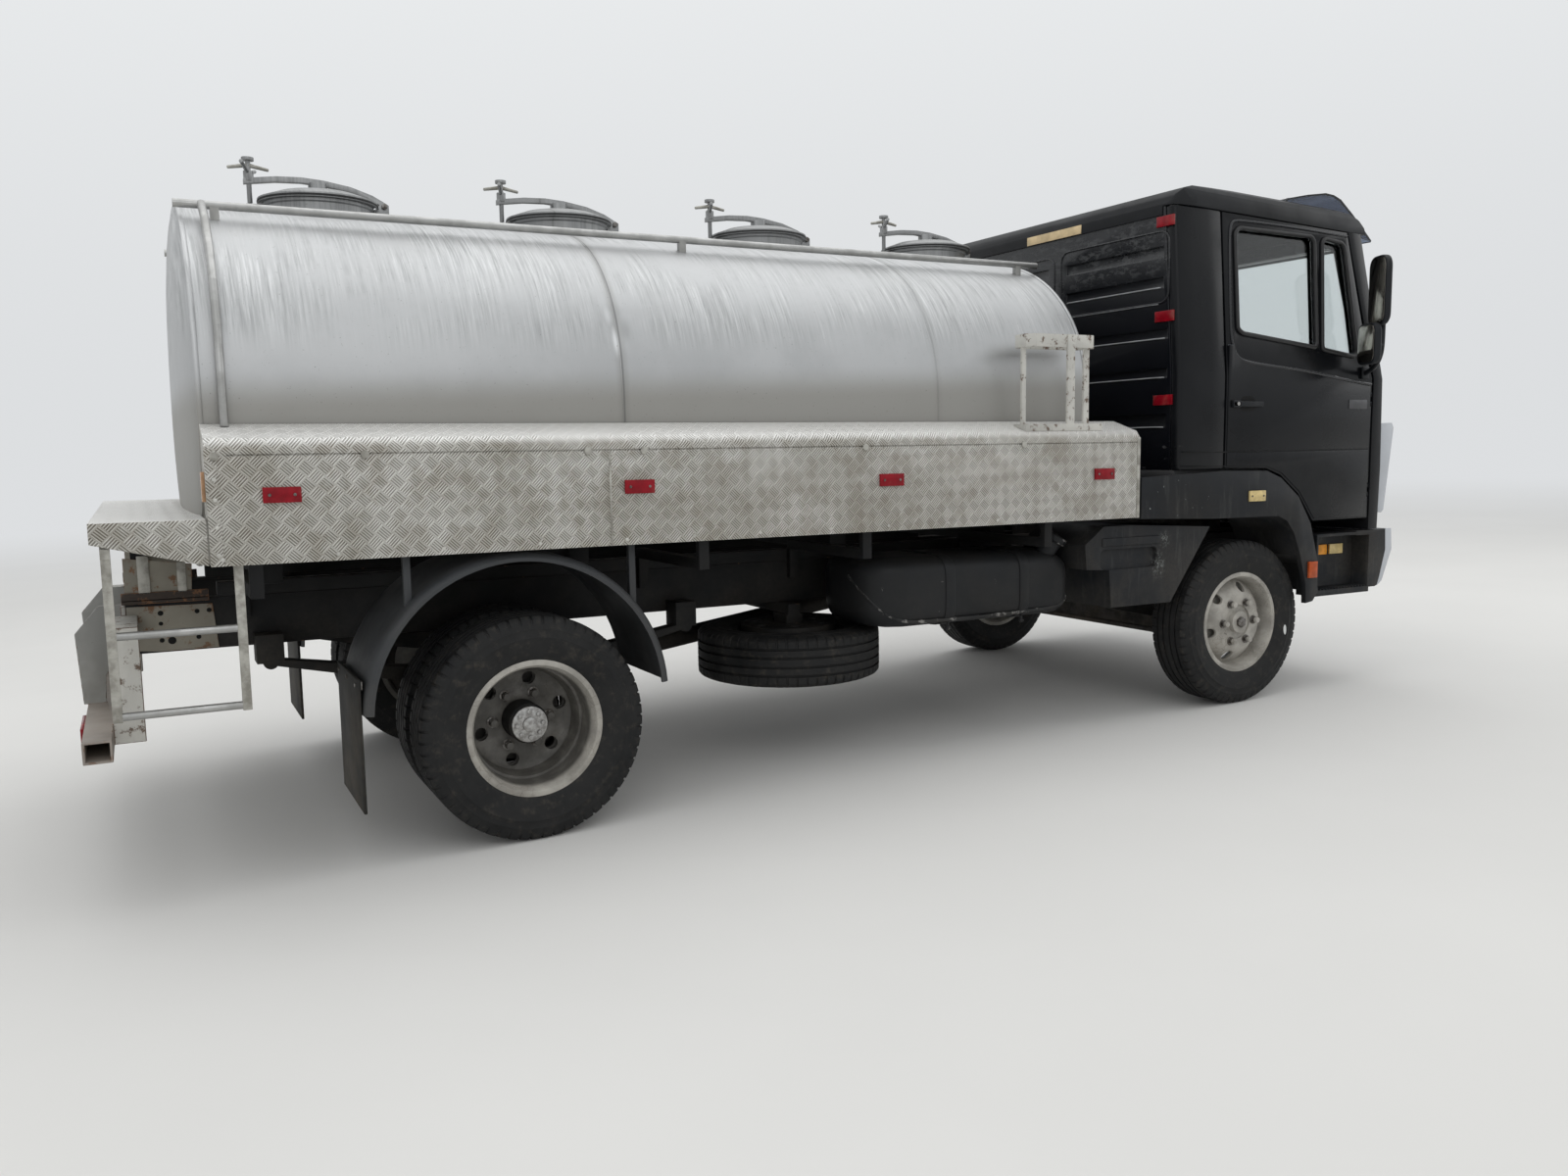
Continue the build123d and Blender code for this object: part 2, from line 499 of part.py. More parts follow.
for s in (-1, 1):
    y = s * 640
    seats.append(fuse([
        block(3245, 3685, y - 190, y + 190, 1215, 1440),
        prism("xz", [(3175, 1440), (3175, 1560), (3705, 1580), (3735, 1540), (3725, 1440)], y - 250, y + 250),
        prism("xz", [(3175, 1500), (3075, 2060), (3095, 2120), (3155, 2120), (3295, 1500)], y - 240, y + 240),
    ]))
keep("seats", seats)

# Smoked visor over the windscreen, on two cheeks that rest on the roof edge
VISOR_TOP = [(790, 129), (930, 163), (1060, 187), (1120, 185), (1174, 170), (1271, 108), (1350, 52), (1422, -2)]
visor_low = [(x - 4, z - 9) for x, z in reversed(VISOR_TOP)]
visor = prism("xz", VISOR_TOP + visor_low, -955, 955)
CHEEK = [(790, 110), (790, 130), (930, 158), (1060, 182), (1120, 180), (1172, 165), (1267, 104), (1346, 48), (1416, -4),
         (1345, 4), (1290, 36), (1240, 66), (1150, 104), (1060, 110)]
cheeks = [prism("xz", CHEEK, s * 947, s * 955) for s in (-1, 1)]
visor = fuse([visor] + cheeks) - Pos(0, 0, GAP) * roof_full
keep("sun_visor", ROOF * visor)

# Front: bumper with the step wells at its ends, light grille panel, lamps
BUMPER_SIDE = [(4230, 886), (4497, 886), (4505, 781), (4436, 623), (4391, 595), (4330, 595), (4330, 862), (4230, 862)]
bumper = prism("xz", BUMPER_SIDE, -SIDE_Y, SIDE_Y)
for s in (-1, 1):
    tread = block(3945, 4340, s * 970, s * SIDE_Y, 572, 600)
    back = block(3945, 4340, s * 960, s * 975, 572, 880)
    end = block(3938, 3952, s * 960, s * SIDE_Y, 572, 880)
    top = block(3938, 4340, s * 960, s * SIDE_Y, 866, 880)
    bumper = fuse([bumper, tread, back, end, top])
bumper = bumper - fuse([block(4440, 4520, s * 700, s * 950, 655, 775) for s in (-1, 1)])
stays = [block(4250, 4340, s * 372, s * RAIL_Y, 690, 840) for s in (-1, 1)]
keep("front_bumper", fuse([bumper] + stays))
GRILLE_SIDE = [(4394 + GAP, 975), (4394 + GAP, 1420), (4496, 1425), (4510, 1400), (4455, 985), (4440, 970)]
grille = prism("xz", GRILLE_SIDE, -1060, 1060)
for z in range(1020, 1380, 60):
    grille = grille - block(4430, 4530, -930, 930, z, z + 26)
keep("grille", grille)

# Front wings: outer face, arch roof and front liner
WING_FACE = [(2752, 1006), (2752, 1188), (3262, 1207), (3552, 1201), (3648, 1166), (3776, 1072), (3868, 940), (3925, 760),
             (3936, 600), (3900, 555), (3850, 548), (3846, 640), (3800, 790), (3750, 900), (3700, 958), (3640, 984),
             (3219, 988)]
wing = prism("xz", WING_FACE, -1090, -1064)
arch = prism("xz", [(2752, 1003), (2752, 1023), (3640, 1003), (3712, 976), (3765, 912), (3818, 800), (3925, 740),
                    (3936, 600), (3922, 600), (3911, 730), (3800, 785), (3750, 900), (3700, 958), (3640, 984)],
             -1064, -720)
tie = block(2752, 2800, -720, -RAIL_Y, 990, 1023)
drop = block(2752, 2800, -RAIL_Y - 40, -RAIL_Y, 800, 990)
wing = fuse([wing, arch, tie, drop])
keep("front_wings", both(wing))

# Moulded boxes behind the front wheels, their front face follows the tyre
BOX_GUARD = [(2530, 938), (2580, 976), (2748, 976), (3236, 950), (2992, 612), (2630, 612), (2616, 780), (2484, 790),
             (2475, 900)]
guard = prism("xz", BOX_GUARD, -1040, -620) + block(2640, 2720, -620, -RAIL_Y, 760, 840)
keep("wheel_boxes", both(guard))

# Tank: oval of arcs, shallow dished ends, four necks with hinge and catch lugs
def tank_ring(x, grow, cut):
    """Closed wire at x: arcs through points of a rounded oval, grown by grow, scaled by cut."""
    pts = []
    n = 32
    for i in range(n):
        a = math.radians(360 * i / n)
        sx, cx = math.sin(a), math.cos(a)
        y = math.copysign(abs(sx) ** (2 / TANK_POWER), sx) * (TANK_A + grow)
        up = TANK_TOP - TANK_MID + grow if cx > 0 else TANK_MID - TANK_BELLY + grow
        z = math.copysign(abs(cx) ** (2 / TANK_POWER), cx) * up
        pts.append(Vector(x, y * cut, TANK_MID + z * cut))
    edges = [Edge.make_three_point_arc(pts[i], pts[i + 1], pts[(i + 2) % n]) for i in range(0, n, 2)]
    return Wire(edges)


def tank_body(grow):
    mid = Solid.extrude(Face(tank_ring(TANK_X0, grow, 1.0)), Vector(TANK_X1 - TANK_X0, 0, 0))
    rear = Solid.make_loft([tank_ring(TANK_X0, grow, 1.0), tank_ring(TANK_X0 - 12, grow, 0.94),
                            tank_ring(TANK_X0 - 34, grow, 0.55)], True)
    front_end = Solid.make_loft([tank_ring(TANK_X1, grow, 1.0), tank_ring(TANK_X1 + 12, grow, 0.94),
                                 tank_ring(TANK_X1 + 34, grow, 0.55)], True)
    return mid + rear + front_end


tank = tank_body(0.0)
HINGE_DX, HINGE_Z = 240.0, 2306.0
for x in MANHOLES:
    tank = tank + rod((x, 0, 2120), (x, 0, NECK_TOP), NECK_R)
    tank = tank + block(x + 185, x + 212, -26, 26, 2215, 2280) + block(x + 205, x + 258, -26, 26, 2255, 2280)
    for s in (-1, 1):
        ear = prism("xz", [(x + 205, 2255), (x + 258, 2255), (x + 258, 2312), (x + 240, 2322), (x + 222, 2312), (x + 205, 2285)],
                    s * 26, s * 16)
        tank = tank + ear
    tank = tank + block(x - 258, x - 185, -20, 20, 2262, 2282)
keep("tank_shell", tank)

# Saddles and bearers that carry the tank on the rails
tank_clear = tank_body(GAP)
saddles = []
for x in (-780.0, 320.0, 1480.0, 2340.0):
    saddles.append(block(x - 40, x + 40, -600, 600, 905, 1120) - tank_clear)
bearers = [block(-940, 2560, s * 362, s * RAIL_Y, RAIL_Z1, 905) for s in (-1, 1)]
cradle = fuse(bearers + [fuse(list(s.solids())) for s in saddles])
keep("tank_cradle", cradle)

# Filling lids: dished cover, rim, curved arm from the hinge, screw and two wing grips at its rear end
ARM_LINE = [(-262, 2374), (-150, 2390), (-60, 2394), (20, 2389), (120, 2373), (200, 2347), (252, 2319)]


def lid(x):
    cover = lathe_z([(0, 2290.3), (LID_R, 2290.3), (LID_R, 2307), (150, 2332), (60, 2346), (0, 2348)], x, 0, 0)
    boss = rod((x, 0, 2340), (x, 0, 2378), 34)
    top = [(x + a, b) for a, b in ARM_LINE]
    low = [(x + a, b - 20) for a, b in reversed(ARM_LINE)]
    arm = prism("xz", top + low, -14, 14)
    eye = rod((x + HINGE_DX, -15.7, HINGE_Z), (x + HINGE_DX, 15.7, HINGE_Z), 16)
    screw = rod((x - 243, 0, 2287), (x - 243, 0, 2448), 9)
    collar = rod((x - 243, 0, 2366), (x - 243, 0, 2402), 18)
    cap = rod((x - 243, 0, 2440), (x - 243, 0, 2452), 22)
    grips = [rod((x - 243, 0, 2394), (x - 243 + 30 * s, 85 * s, 2420), 7) for s in (-1, 1)]
    cover = cover - block(x + 196, x + 262, -60, 60, 2240, 2330)
    return fuse([cover, boss, arm, eye, screw, collar, cap] + grips)


for i, x in enumerate(MANHOLES):
    keep("lid_%d" % (i + 1), lid(x))

# Rails along both top edges of the tank, and a drain pipe down each side at the rear
RAIL_TUBE_Y, RAIL_TUBE_Z = TANK_A - 375.0, 2166.0
tank_top_clear = tank_body(GAP)


def top_rail(s):
    y = s * RAIL_TUBE_Y
    tube = rod((-1000, y, RAIL_TUBE_Z), (2596, y, RAIL_TUBE_Z), 14)
    feet = [block(x - 14, x + 14, y - 12, y + 12, 2060, RAIL_TUBE_Z) for x in (-877, 803, 2483)]
    # side distance from the tank's half width, height
    line = [(-365, 2168), (-235, 2096), (-125, 2000), (-45, 1880), (5, 1740), (21, 1600), (30, 1432)]
    drain = pipe([(-915, s * (TANK_A + a), b) for a, b in line], 13)
    return fuse([tube, drain] + feet) - tank_top_clear


deck_clear = prism("yz", [(-BOX_Y, BOX_Z0), (-BOX_Y, 1366), (-BOX_Y + 21, 1394), (-TANK_A - 5, 1441),
                         (-TANK_A - 1, BOX_Z0)], BOX_X0, BOX_X1)
rails = [top_rail(s) for s in (-1, 1)]
rails = [r - deck_clear - flip(deck_clear) for r in rails]
keep("top_rails", rails)

# Side lockers of tread plate: closed boxes with sloped tops beside the tank
LOCKER = [(-BOX_Y, BOX_Z0), (-BOX_Y, 1366), (-BOX_Y + 21, 1394), (-TANK_A - 7, 1440), (-TANK_A - 5, BOX_Z0)]
locker = prism("yz", LOCKER, BOX_X0, BOX_X1)
groove = block(BOX_X0 + 60, BOX_X1 - 12, -BOX_Y - 1, -BOX_Y + 6, 1340, 1346)
locker = locker - groove
BRACKET_X = (-860.0, 640.0, 1340.0, 2250.0)
for x in BRACKET_X:
    locker = locker + block(x - 20, x + 20, -BOX_Y + 37, -RAIL_Y, 905, 945)
    locker = locker + block(x - 20, x + 20, -RAIL_Y - 30, -RAIL_Y, 780, 920)
    locker = locker + block(x - 20, x + 20, -BOX_Y + 37, -BOX_Y + 67, 940, 1020)
keep("side_lockers", both(locker))

# Rear platform: folded tread plate with tapered ends
STEP_Y = BOX_Y - 2
STEP_END = [(-1297, 1094), (-990, 1016), (-990, 1155), (-1297, 1155)]
platform = fuse([
    block(-1297, -990, -STEP_Y, STEP_Y, 1140, 1155),
    block(-1297, -1285, -STEP_Y, STEP_Y, 1094, 1140),
    prism("xz", STEP_END, -STEP_Y, -STEP_Y + 12),
    prism("xz", STEP_END, STEP_Y - 12, STEP_Y),
    block(-1200, -1150, -RAIL_Y, -RAIL_Y + 50, RAIL_Z1, 1140),
    block(-1200, -1150, RAIL_Y - 50, RAIL_Y, RAIL_Z1, 1140),
])
platform = platform - tank_clear
keep("rear_platform", platform)

# Side ladder at the right rear
RUNG_Y = -BOX_Y + 37
ladder = fuse([
    block(-1272, -1246, RUNG_Y - 13, RUNG_Y + 13, 567, 1086),
    block(-922, -896, RUNG_Y - 13, RUNG_Y + 13, 567, 1012.7),
    rod((-1259, RUNG_Y, 821), (-909, RUNG_Y, 821), 12),
    rod((-1259, RUNG_Y, 582), (-909, RUNG_Y, 582), 12),
    block(-1272, -1246, RUNG_Y - 23, RUNG_Y + 13, 1050, 1080),
])
keep("ladder", ladder)

# Hoop on legs on the right deck ahead of the tank
HOOP_Y = -BOX_Y + 29
HOOP_X0, HOOP_X1 = 2138.0, 2510.0


def hoop_line(t):
    """Plan of the hoop, set in by t."""
    x0, x1, y0, y1 = HOOP_X0 + t, HOOP_X1 - t, HOOP_Y + t, HOOP_Y + 128 - t
    return [(x0 + 30, y0), (x1 - 30, y0), (x1, y0 + 30), (x1, y1 - 30), (x1 - 30, y1), (x0 + 30, y1), (x0, y1 - 30),
            (x0, y0 + 30)]


hoop_out = prism("xy", hoop_line(0), 1746, 1800)
hoop_in = prism("xy", hoop_line(8), 1740, 1806)
# x, y, width of each leg
LEGS = [(2150, HOOP_Y + 60, 22), (2355, HOOP_Y + 4, 40), (2492, HOOP_Y + 58, 30)]
legs = [block(x - w / 2, x + w / 2, y - 5, y + 5, 1390, 1746) for x, y, w in LEGS]
legs[1] = block(2335, 2375, HOOP_Y - 6, HOOP_Y + 4, 1396, 1800)
foot = block(2110, 2530, HOOP_Y - 6, HOOP_Y + 68, 1396, 1426)
hoop = fuse([hoop_out - hoop_in, foot] + legs) - fuse([locker, tank_clear])
keep("deck_hoop", [max(hoop.solids(), key=lambda s: s.volume)])

# Rear underrun beam: open square tube on plates and box posts
beam = block(-1360, -1280, -1000, 1000, 437, 505) - block(-1353, -1287, -1001, 1001, 444, 498)
rear_bumper = [beam]
for s in (-1, 1):
    rear_bumper.append(prism("xz", [(-1372, 505), (-1384, 748), (-1308, 840), (-1240, 840), (-1240, 690), (-1300, 600),
                                    (-1304, 505)], s * 330, s * 345))
    rear_bumper.append(block(-1240, -1224, s * 330, s * RAIL_Y, 690, 840))
    rear_bumper.append(block(-1280, -1190, s * 700, s * 760, 440, 810))
    rear_bumper.append(block(-1280, -1190, s * RAIL_Y, s * 760, 750, 810))
keep("rear_bumper", fuse(rear_bumper))

# Rear mudguards with stays, and flaps behind them
def ring_part(cx, cz, r0, r1, a0, a1, y0, y1, steps):
    out = [(cx + r1 * math.cos(math.radians(a0 + (a1 - a0) * i / steps)),
            cz + r1 * math.sin(math.radians(a0 + (a1 - a0) * i / steps))) for i in range(steps + 1)]
    inn = [(cx + r0 * math.cos(math.radians(a0 + (a1 - a0) * i / steps)),
            cz + r0 * math.sin(math.radians(a0 + (a1 - a0) * i / steps))) for i in range(steps, -1, -1)]
    return prism("xz", out + inn, y0, y1)


guard_parts = [
    ring_part(-40, 474, 523, 533, 4, 177, -1064, -590, 20),
    ring_part(-40, 474, 480, 533, 4, 177, -1070, -1060, 20),
    block(-420, -396, -1030, -1006, 835, 1012.7),
    block(360, 384, -1030, -1006, 800, 1012.7),
]
mudguard = fuse(guard_parts) - ring_part(-40, 474, 300, 523, 0, 180, -1050, -600, 20)
keep("rear_mudguards", both(mudguard))
flap = block(-572.57, -582.6, -1040, -610, 175, 620)
keep("mudflaps", both(flap))

# Mirrors on the doors: arm, tall glass housing and a small wide one
def mirror_set():
    arm_line = [(4240, -1074.7, 1662), (4215, -1150, 1690), (4190, -1205, 1760), (4190, -1205, 2180)]
    arm = pipe(arm_line, 12)
    foot = block(4215, 4265, -1088, -1075, 1640, 1700)
    tall = Pos(4155, -1213, 2048) * Rot(0, 0, -27) * Box(40, 165, 330)
    small = Pos(4122, -1190, 1798) * Rot(0, 0, -27) * Box(44, 170, 195)
    link = rod((4190, -1205, 1795), (4130, -1192, 1795), 10)
    return fuse([arm, foot, tall, small, link])


mirror_arm = mirror_set() - side_slab
keep("mirror_right", mirror_arm)
keep("mirror_left", flip(mirror_arm))

# Reflectors and lamps: x, y, z centre and x, y, z size of each on the right side
CHIP_Y = -BOX_Y - 5
RED = [(-777, CHIP_Y, 1222, 110, 10, 48), (381, CHIP_Y, 1215, 110, 10, 48), (1428, CHIP_Y, 1212, 110, 10, 48),
       (2523, CHIP_Y, 1210, 110, 10, 48), (REAR_WALL_X - 5, -962, 2331, 10, 104, 46), (REAR_WALL_X - 5, -966, 1910, 10, 112, 48),
       (REAR_WALL_X - 5, -966, 1534, 10, 112, 46), (-989, -1020, 1250, 10, 45, 90)]
AMBER = [(3482, -1095, 1085, 108, 10, 50), (4080, -980, 792, 100, 10, 50), (4200, -980, 792, 100, 10, 50),
         (3885, -1096, 712, 60, 12, 80), (4467, -825, 715, 54, 240, 112), (-1365.5, -640, 471, 11, 240, 60)]


def chips(table):
    return [Pos(x, y, z) * Box(a, b, c) for x, y, z, a, b, c in table]


keep("reflectors", sum([both(c) for c in chips(RED)], []))
keep("lamps", sum([both(c) for c in chips(AMBER)], []))

os.makedirs("parts", exist_ok=True)
lo, hi = [1e9] * 3, [-1e9] * 3
for name, solids in NODES.items():
    shape = solids[0] if len(solids) == 1 else Compound(children=list(solids))
    export_step(shape, "parts/%s.step" % name)
    bb = shape.bounding_box()
    for i, (a, b) in enumerate(((bb.min.X, bb.max.X), (bb.min.Y, bb.max.Y), (bb.min.Z, bb.max.Z))):
        lo[i], hi[i] = min(lo[i], a), max(hi[i], b)
print("nodes", len(NODES))
print("box", [round(v, 2) for v in lo], [round(v, 2) for v in hi])
print("centre x", round((lo[0] + hi[0]) / 2, 2))
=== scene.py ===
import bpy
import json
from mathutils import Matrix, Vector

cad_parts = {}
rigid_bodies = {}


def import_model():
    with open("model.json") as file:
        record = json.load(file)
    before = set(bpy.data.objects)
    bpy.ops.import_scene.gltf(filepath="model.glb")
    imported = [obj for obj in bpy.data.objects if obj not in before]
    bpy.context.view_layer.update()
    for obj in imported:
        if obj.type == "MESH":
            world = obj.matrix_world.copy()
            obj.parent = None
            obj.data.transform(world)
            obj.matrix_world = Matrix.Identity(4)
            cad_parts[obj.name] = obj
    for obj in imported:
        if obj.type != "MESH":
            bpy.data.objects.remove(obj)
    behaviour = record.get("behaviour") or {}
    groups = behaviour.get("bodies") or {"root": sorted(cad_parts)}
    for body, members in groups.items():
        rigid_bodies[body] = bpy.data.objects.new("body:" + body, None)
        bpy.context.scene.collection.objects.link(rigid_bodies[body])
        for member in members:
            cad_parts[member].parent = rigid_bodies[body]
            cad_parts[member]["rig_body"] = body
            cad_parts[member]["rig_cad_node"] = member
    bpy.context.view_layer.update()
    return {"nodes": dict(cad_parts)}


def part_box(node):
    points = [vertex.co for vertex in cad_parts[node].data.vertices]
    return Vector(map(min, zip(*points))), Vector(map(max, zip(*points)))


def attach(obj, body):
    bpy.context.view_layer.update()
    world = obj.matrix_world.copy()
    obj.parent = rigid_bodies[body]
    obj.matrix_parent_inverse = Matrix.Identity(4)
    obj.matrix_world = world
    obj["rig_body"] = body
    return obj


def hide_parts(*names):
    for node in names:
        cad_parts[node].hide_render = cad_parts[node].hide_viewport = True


bl_info = {
    "name": "Tanker truck dressing",
    "version": (1, 0, 0),
    "blender": (4, 5, 0),
    "location": "3D View > Sidebar > Tanker",
    "description": "Finishes, tyre tread, seals, glass and small fittings for a packed tanker truck",
    "category": "Object",
}

import json
import math
import bpy
from bpy.props import FloatProperty, FloatVectorProperty, IntProperty, PointerProperty
from mathutils import Matrix, Vector

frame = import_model()

# Sizes below are in millimetres in the chassis frame: +X forward from the rear axle, +Y left, +Z up.
# The chassis leans nose-down by LEAN, the wheels stand level.
MM = 0.001
LEAN = math.radians(1.466)
HUB_ABOVE_FRAME_ZERO = 388.0


def middle(node):
    low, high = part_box(node)
    return (low + high) / 2 / MM


REAR_HUB = middle("rear_rims_right")
FRONT_HUB = middle("front_rim_right")
SPARE_HUB = middle("spare_tyre")
CHASSIS = Matrix.Translation((
    REAR_HUB.x * MM - HUB_ABOVE_FRAME_ZERO * MM * math.sin(LEAN), 0,
    REAR_HUB.z * MM - HUB_ABOVE_FRAME_ZERO * MM * math.cos(LEAN))) @ Matrix.Rotation(LEAN, 4, "Y")
LEVEL = Matrix.Identity(4)
MIRROR = Matrix.Scale(-1, 4, (0, 1, 0))

# Where a piece drawn on the right is set for each side of the truck, and the sign of Y on each side
PLACES = (("right", CHASSIS), ("left", CHASSIS @ MIRROR))
HANDS = ((-1, "right"), (1, "left"))

# Cab
SIDE_Y, TOP_Y, BELT_Z, GUTTER_Z = 1075.0, 1020.0, 1640.0, 2400.0
WALL_X = 3000.0
FRONT_X, FRONT_SLOPE = 4384.0, -0.19763
MAIN_WINDOW = [(3360, 1858), (3388, 1838), (3886, 1786), (3898, 1806), (3900, 2290), (3878, 2312),
               (3388, 2318), (3360, 2294)]
QUARTER_WINDOW = [(3942, 1778), (4168, 1748), (4190, 1770), (4118, 2274), (4096, 2296), (3976, 2308),
                  (3956, 2290), (3938, 1800)]
SCREEN = [(-955, 1668), (-970, 1700), (-926, 2266), (-900, 2290), (900, 2290), (926, 2266), (970, 1700),
          (955, 1668)]
SEAT_Y = 640

# Tank
TANK_BACK, TANK_FRONT = -985.0, 2583.0
TANK_HALF, TANK_TOP, TANK_MID, TANK_BELLY, TANK_POWER = 925.0, 2225.0, 1480.0, 945.0, 2.35
FILLING_HOLES = [-473.0, 483.0, 1428.0, 2355.0]
NECK_R, LID_R = 195.0, 218.0
TANK_SEAMS = [400.0, 1776.0]

# Side lockers
LOCKER_BACK, LOCKER_FRONT, LOCKER_Y, LOCKER_LOW, LOCKER_FOLD = -984.0, 2730.0, 1097.0, 1013.0, 1366.0

# Middle planes of the tyres, planes that the wheel nuts sit on, bolt circle of the wheels
FRONT_TYRE_Y, OUTER_TYRE_Y, INNER_TYRE_Y = 927, 943, 695
FRONT_NUT_Y, REAR_NUT_Y = FRONT_TYRE_Y + 78, OUTER_TYRE_Y - 104
NUT_CIRCLE = 102.5


# Sizes and colours a user may change
class TruckSizes(bpy.types.PropertyGroup):
    tread_depth: FloatProperty(name="Tread depth", description="Depth of the tyre grooves", default=0.009,
                               unit="LENGTH")
    tread_pitches: IntProperty(name="Tread pitches", description="Shoulder slots round a tyre", default=60)
    plate_cell: FloatProperty(name="Plate cell", description="Side of one group of bars on the tread plate",
                              default=0.038, unit="LENGTH")
    seal_width: FloatProperty(name="Seal width", description="Width of the window rubbers", default=0.022,
                              unit="LENGTH")


def colour_property(name, description, r, g, b):
    return FloatVectorProperty(name=name, description=description, subtype="COLOR", size=4,
                               default=(r, g, b, 1))


class TruckColours(bpy.types.PropertyGroup):
    cab: colour_property("Cab", "Cab paint", 0.0052, 0.0058, 0.0072)
    moulding: colour_property("Moulding", "Wings and guards", 0.0125, 0.0142, 0.0172)
    steel: colour_property("Tank steel", "Brushed stainless steel", 0.50, 0.506, 0.51)
    plate: colour_property("Tread plate", "Embossed aluminium", 0.78, 0.77, 0.735)
    dust: colour_property("Dust", "Road dust", 0.235, 0.195, 0.145)
    wheel: colour_property("Wheels", "Rim paint", 0.42, 0.40, 0.36)


class StudioSettings(bpy.types.PropertyGroup):
    floor: colour_property("Floor", "Floor colour", 0.70, 0.69, 0.67)
    sky: FloatProperty(name="Sky", description="Strength of the soft surrounding light", default=0.86)
    key: FloatProperty(name="Key light", description="Power of the overhead light", default=330.0,
                       unit="POWER")


# Selection and finishing steps shared by all pieces
def leave_edit():
    if bpy.context.mode != "OBJECT":
        bpy.ops.object.mode_set(mode="OBJECT")


def pick(*objects):
    """Select only these, the first one active."""
    leave_edit()
    bpy.ops.object.select_all(action="DESELECT")
    for item in objects:
        item.select_set(True)
    if objects:
        bpy.context.view_layer.objects.active = objects[0]


def edit_all(obj):
    pick(obj)
    bpy.ops.object.mode_set(mode="EDIT")
    bpy.ops.mesh.select_all(action="SELECT")


def apply_place(obj):
    pick(obj)
    bpy.ops.object.transform_apply(location=True, rotation=True, scale=True)


def applied(obj, kind, **settings):
    """Add a modifier with these settings and apply it."""
    pick(obj)
    modifier = obj.modifiers.new("step", kind)
    for key, value in settings.items():
        setattr(modifier, key, value)
    bpy.ops.object.modifier_apply(modifier=modifier.name)
    return obj


def outward(obj, merge=0.02):
    """Merge doubled points and turn every face outwards."""
    edit_all(obj)
    bpy.ops.mesh.remove_doubles(threshold=merge * MM)
    bpy.ops.mesh.normals_make_consistent(inside=False)
    leave_edit()
    return obj


def round_edges(obj, width, segments=2, angle=38):
    """Bevel the sharp edges, and mark the new narrow faces in the attribute named edge."""
    while len(obj.data.materials) < 2:
        obj.data.materials.append(None)
    for face in obj.data.polygons:
        face.material_index = 0
    applied(obj, "BEVEL", width=width * MM, segments=segments, material=1, limit_method="ANGLE",
            angle_limit=math.radians(angle))
    marks = obj.data.attributes.get("edge") or obj.data.attributes.new("edge", "FLOAT", "FACE")
    marks.data.foreach_set("value", [float(f.material_index) for f in obj.data.polygons])
    for face in obj.data.polygons:
        face.material_index = 0
    obj.data.materials.clear()
    return obj


FINISH = {}


def settle(obj, name, finish, body="chassis", place=CHASSIS, smooth=35):
    """Name a piece, set it in its place, give it its finish or list of them, and let it ride on its body."""
    leave_edit()
    obj.name = obj.data.name = name
    apply_place(obj)
    obj.data.transform(place)
    if place.determinant() < 0:
        obj.data.flip_normals()
    obj.data.materials.clear()
    for key in finish if isinstance(finish, list) else [finish]:
        obj.data.materials.append(FINISH[key])
    pick(obj)
    bpy.ops.object.shade_smooth_by_angle(angle=math.radians(smooth))
    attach(obj, body)
    return obj


def by_face(obj, choose):
    """Give each face the finish with the number chosen from its middle in the chassis frame."""
    inverse = CHASSIS.inverted()
    for face in obj.data.polygons:
        face.material_index = int(choose(inverse @ face.center / MM, face))


def joined(items):
    pick(*items)
    if len(items) > 1:
        bpy.ops.object.join()
    return bpy.context.view_layer.objects.active


def twin(obj, matrix):
    """Copy with its own mesh, moved by the matrix."""
    copy = obj.copy()
    copy.data = obj.data.copy()
    copy.data.transform(matrix)
    if matrix.determinant() < 0:
        copy.data.flip_normals()
    bpy.context.scene.collection.objects.link(copy)
    return copy


def both_sides(*items):
    """The items and their mirror image across the centre plane, as one mesh."""
    obj = joined(items)
    apply_place(obj)
    return joined([obj, twin(obj, MIRROR)])


def scattered(seed, matrices):
    """Copies of a small part at each place, as one mesh."""
    apply_place(seed)
    copies = [twin(seed, m) for m in matrices]
    bpy.data.objects.remove(seed)
    return joined(copies)


def at(x, y, z):
    return Matrix.Translation((x * MM, y * MM, z * MM))


def turn_by(degrees, axis):
    return Matrix.Rotation(math.radians(degrees), 4, axis)


# Shapes, from a primitive and edit mode operators
def block(x0, x1, y0, y1, z0, z1, soft=0.0, segments=2):
    pick()
    bpy.ops.mesh.primitive_cube_add(size=1,
                                    location=((x0 + x1) / 2 * MM, (y0 + y1) / 2 * MM, (z0 + z1) / 2 * MM))
    obj = bpy.context.object
    obj.scale = (abs(x1 - x0) * MM, abs(y1 - y0) * MM, abs(z1 - z0) * MM)
    apply_place(obj)
    return round_edges(obj, soft, segments) if soft else obj


def bar(start, end, radius, sides=20, soft=0.0, tip=None):
    """Round bar, or a cone when the radius at its end is given as tip."""
    a, b = Vector(start) * MM, Vector(end) * MM
    shared = {"vertices": sides, "depth": (b - a).length, "location": (a + b) / 2,
              "rotation": (b - a).to_track_quat("Z", "Y").to_euler()}
    pick()
    if tip is None:
        bpy.ops.mesh.primitive_cylinder_add(radius=radius * MM, **shared)
    else:
        bpy.ops.mesh.primitive_cone_add(radius1=radius * MM, radius2=tip * MM, **shared)
    obj = bpy.context.object
    apply_place(obj)
    return round_edges(obj, soft) if soft else obj


def in_plane(plane, a, b, c):
    """Point with a and b in the named plane and c along the third axis, in metres."""
    return Vector({"xz": (a, c, b), "yz": (c, a, b), "xy": (a, b, c)}[plane]) * MM


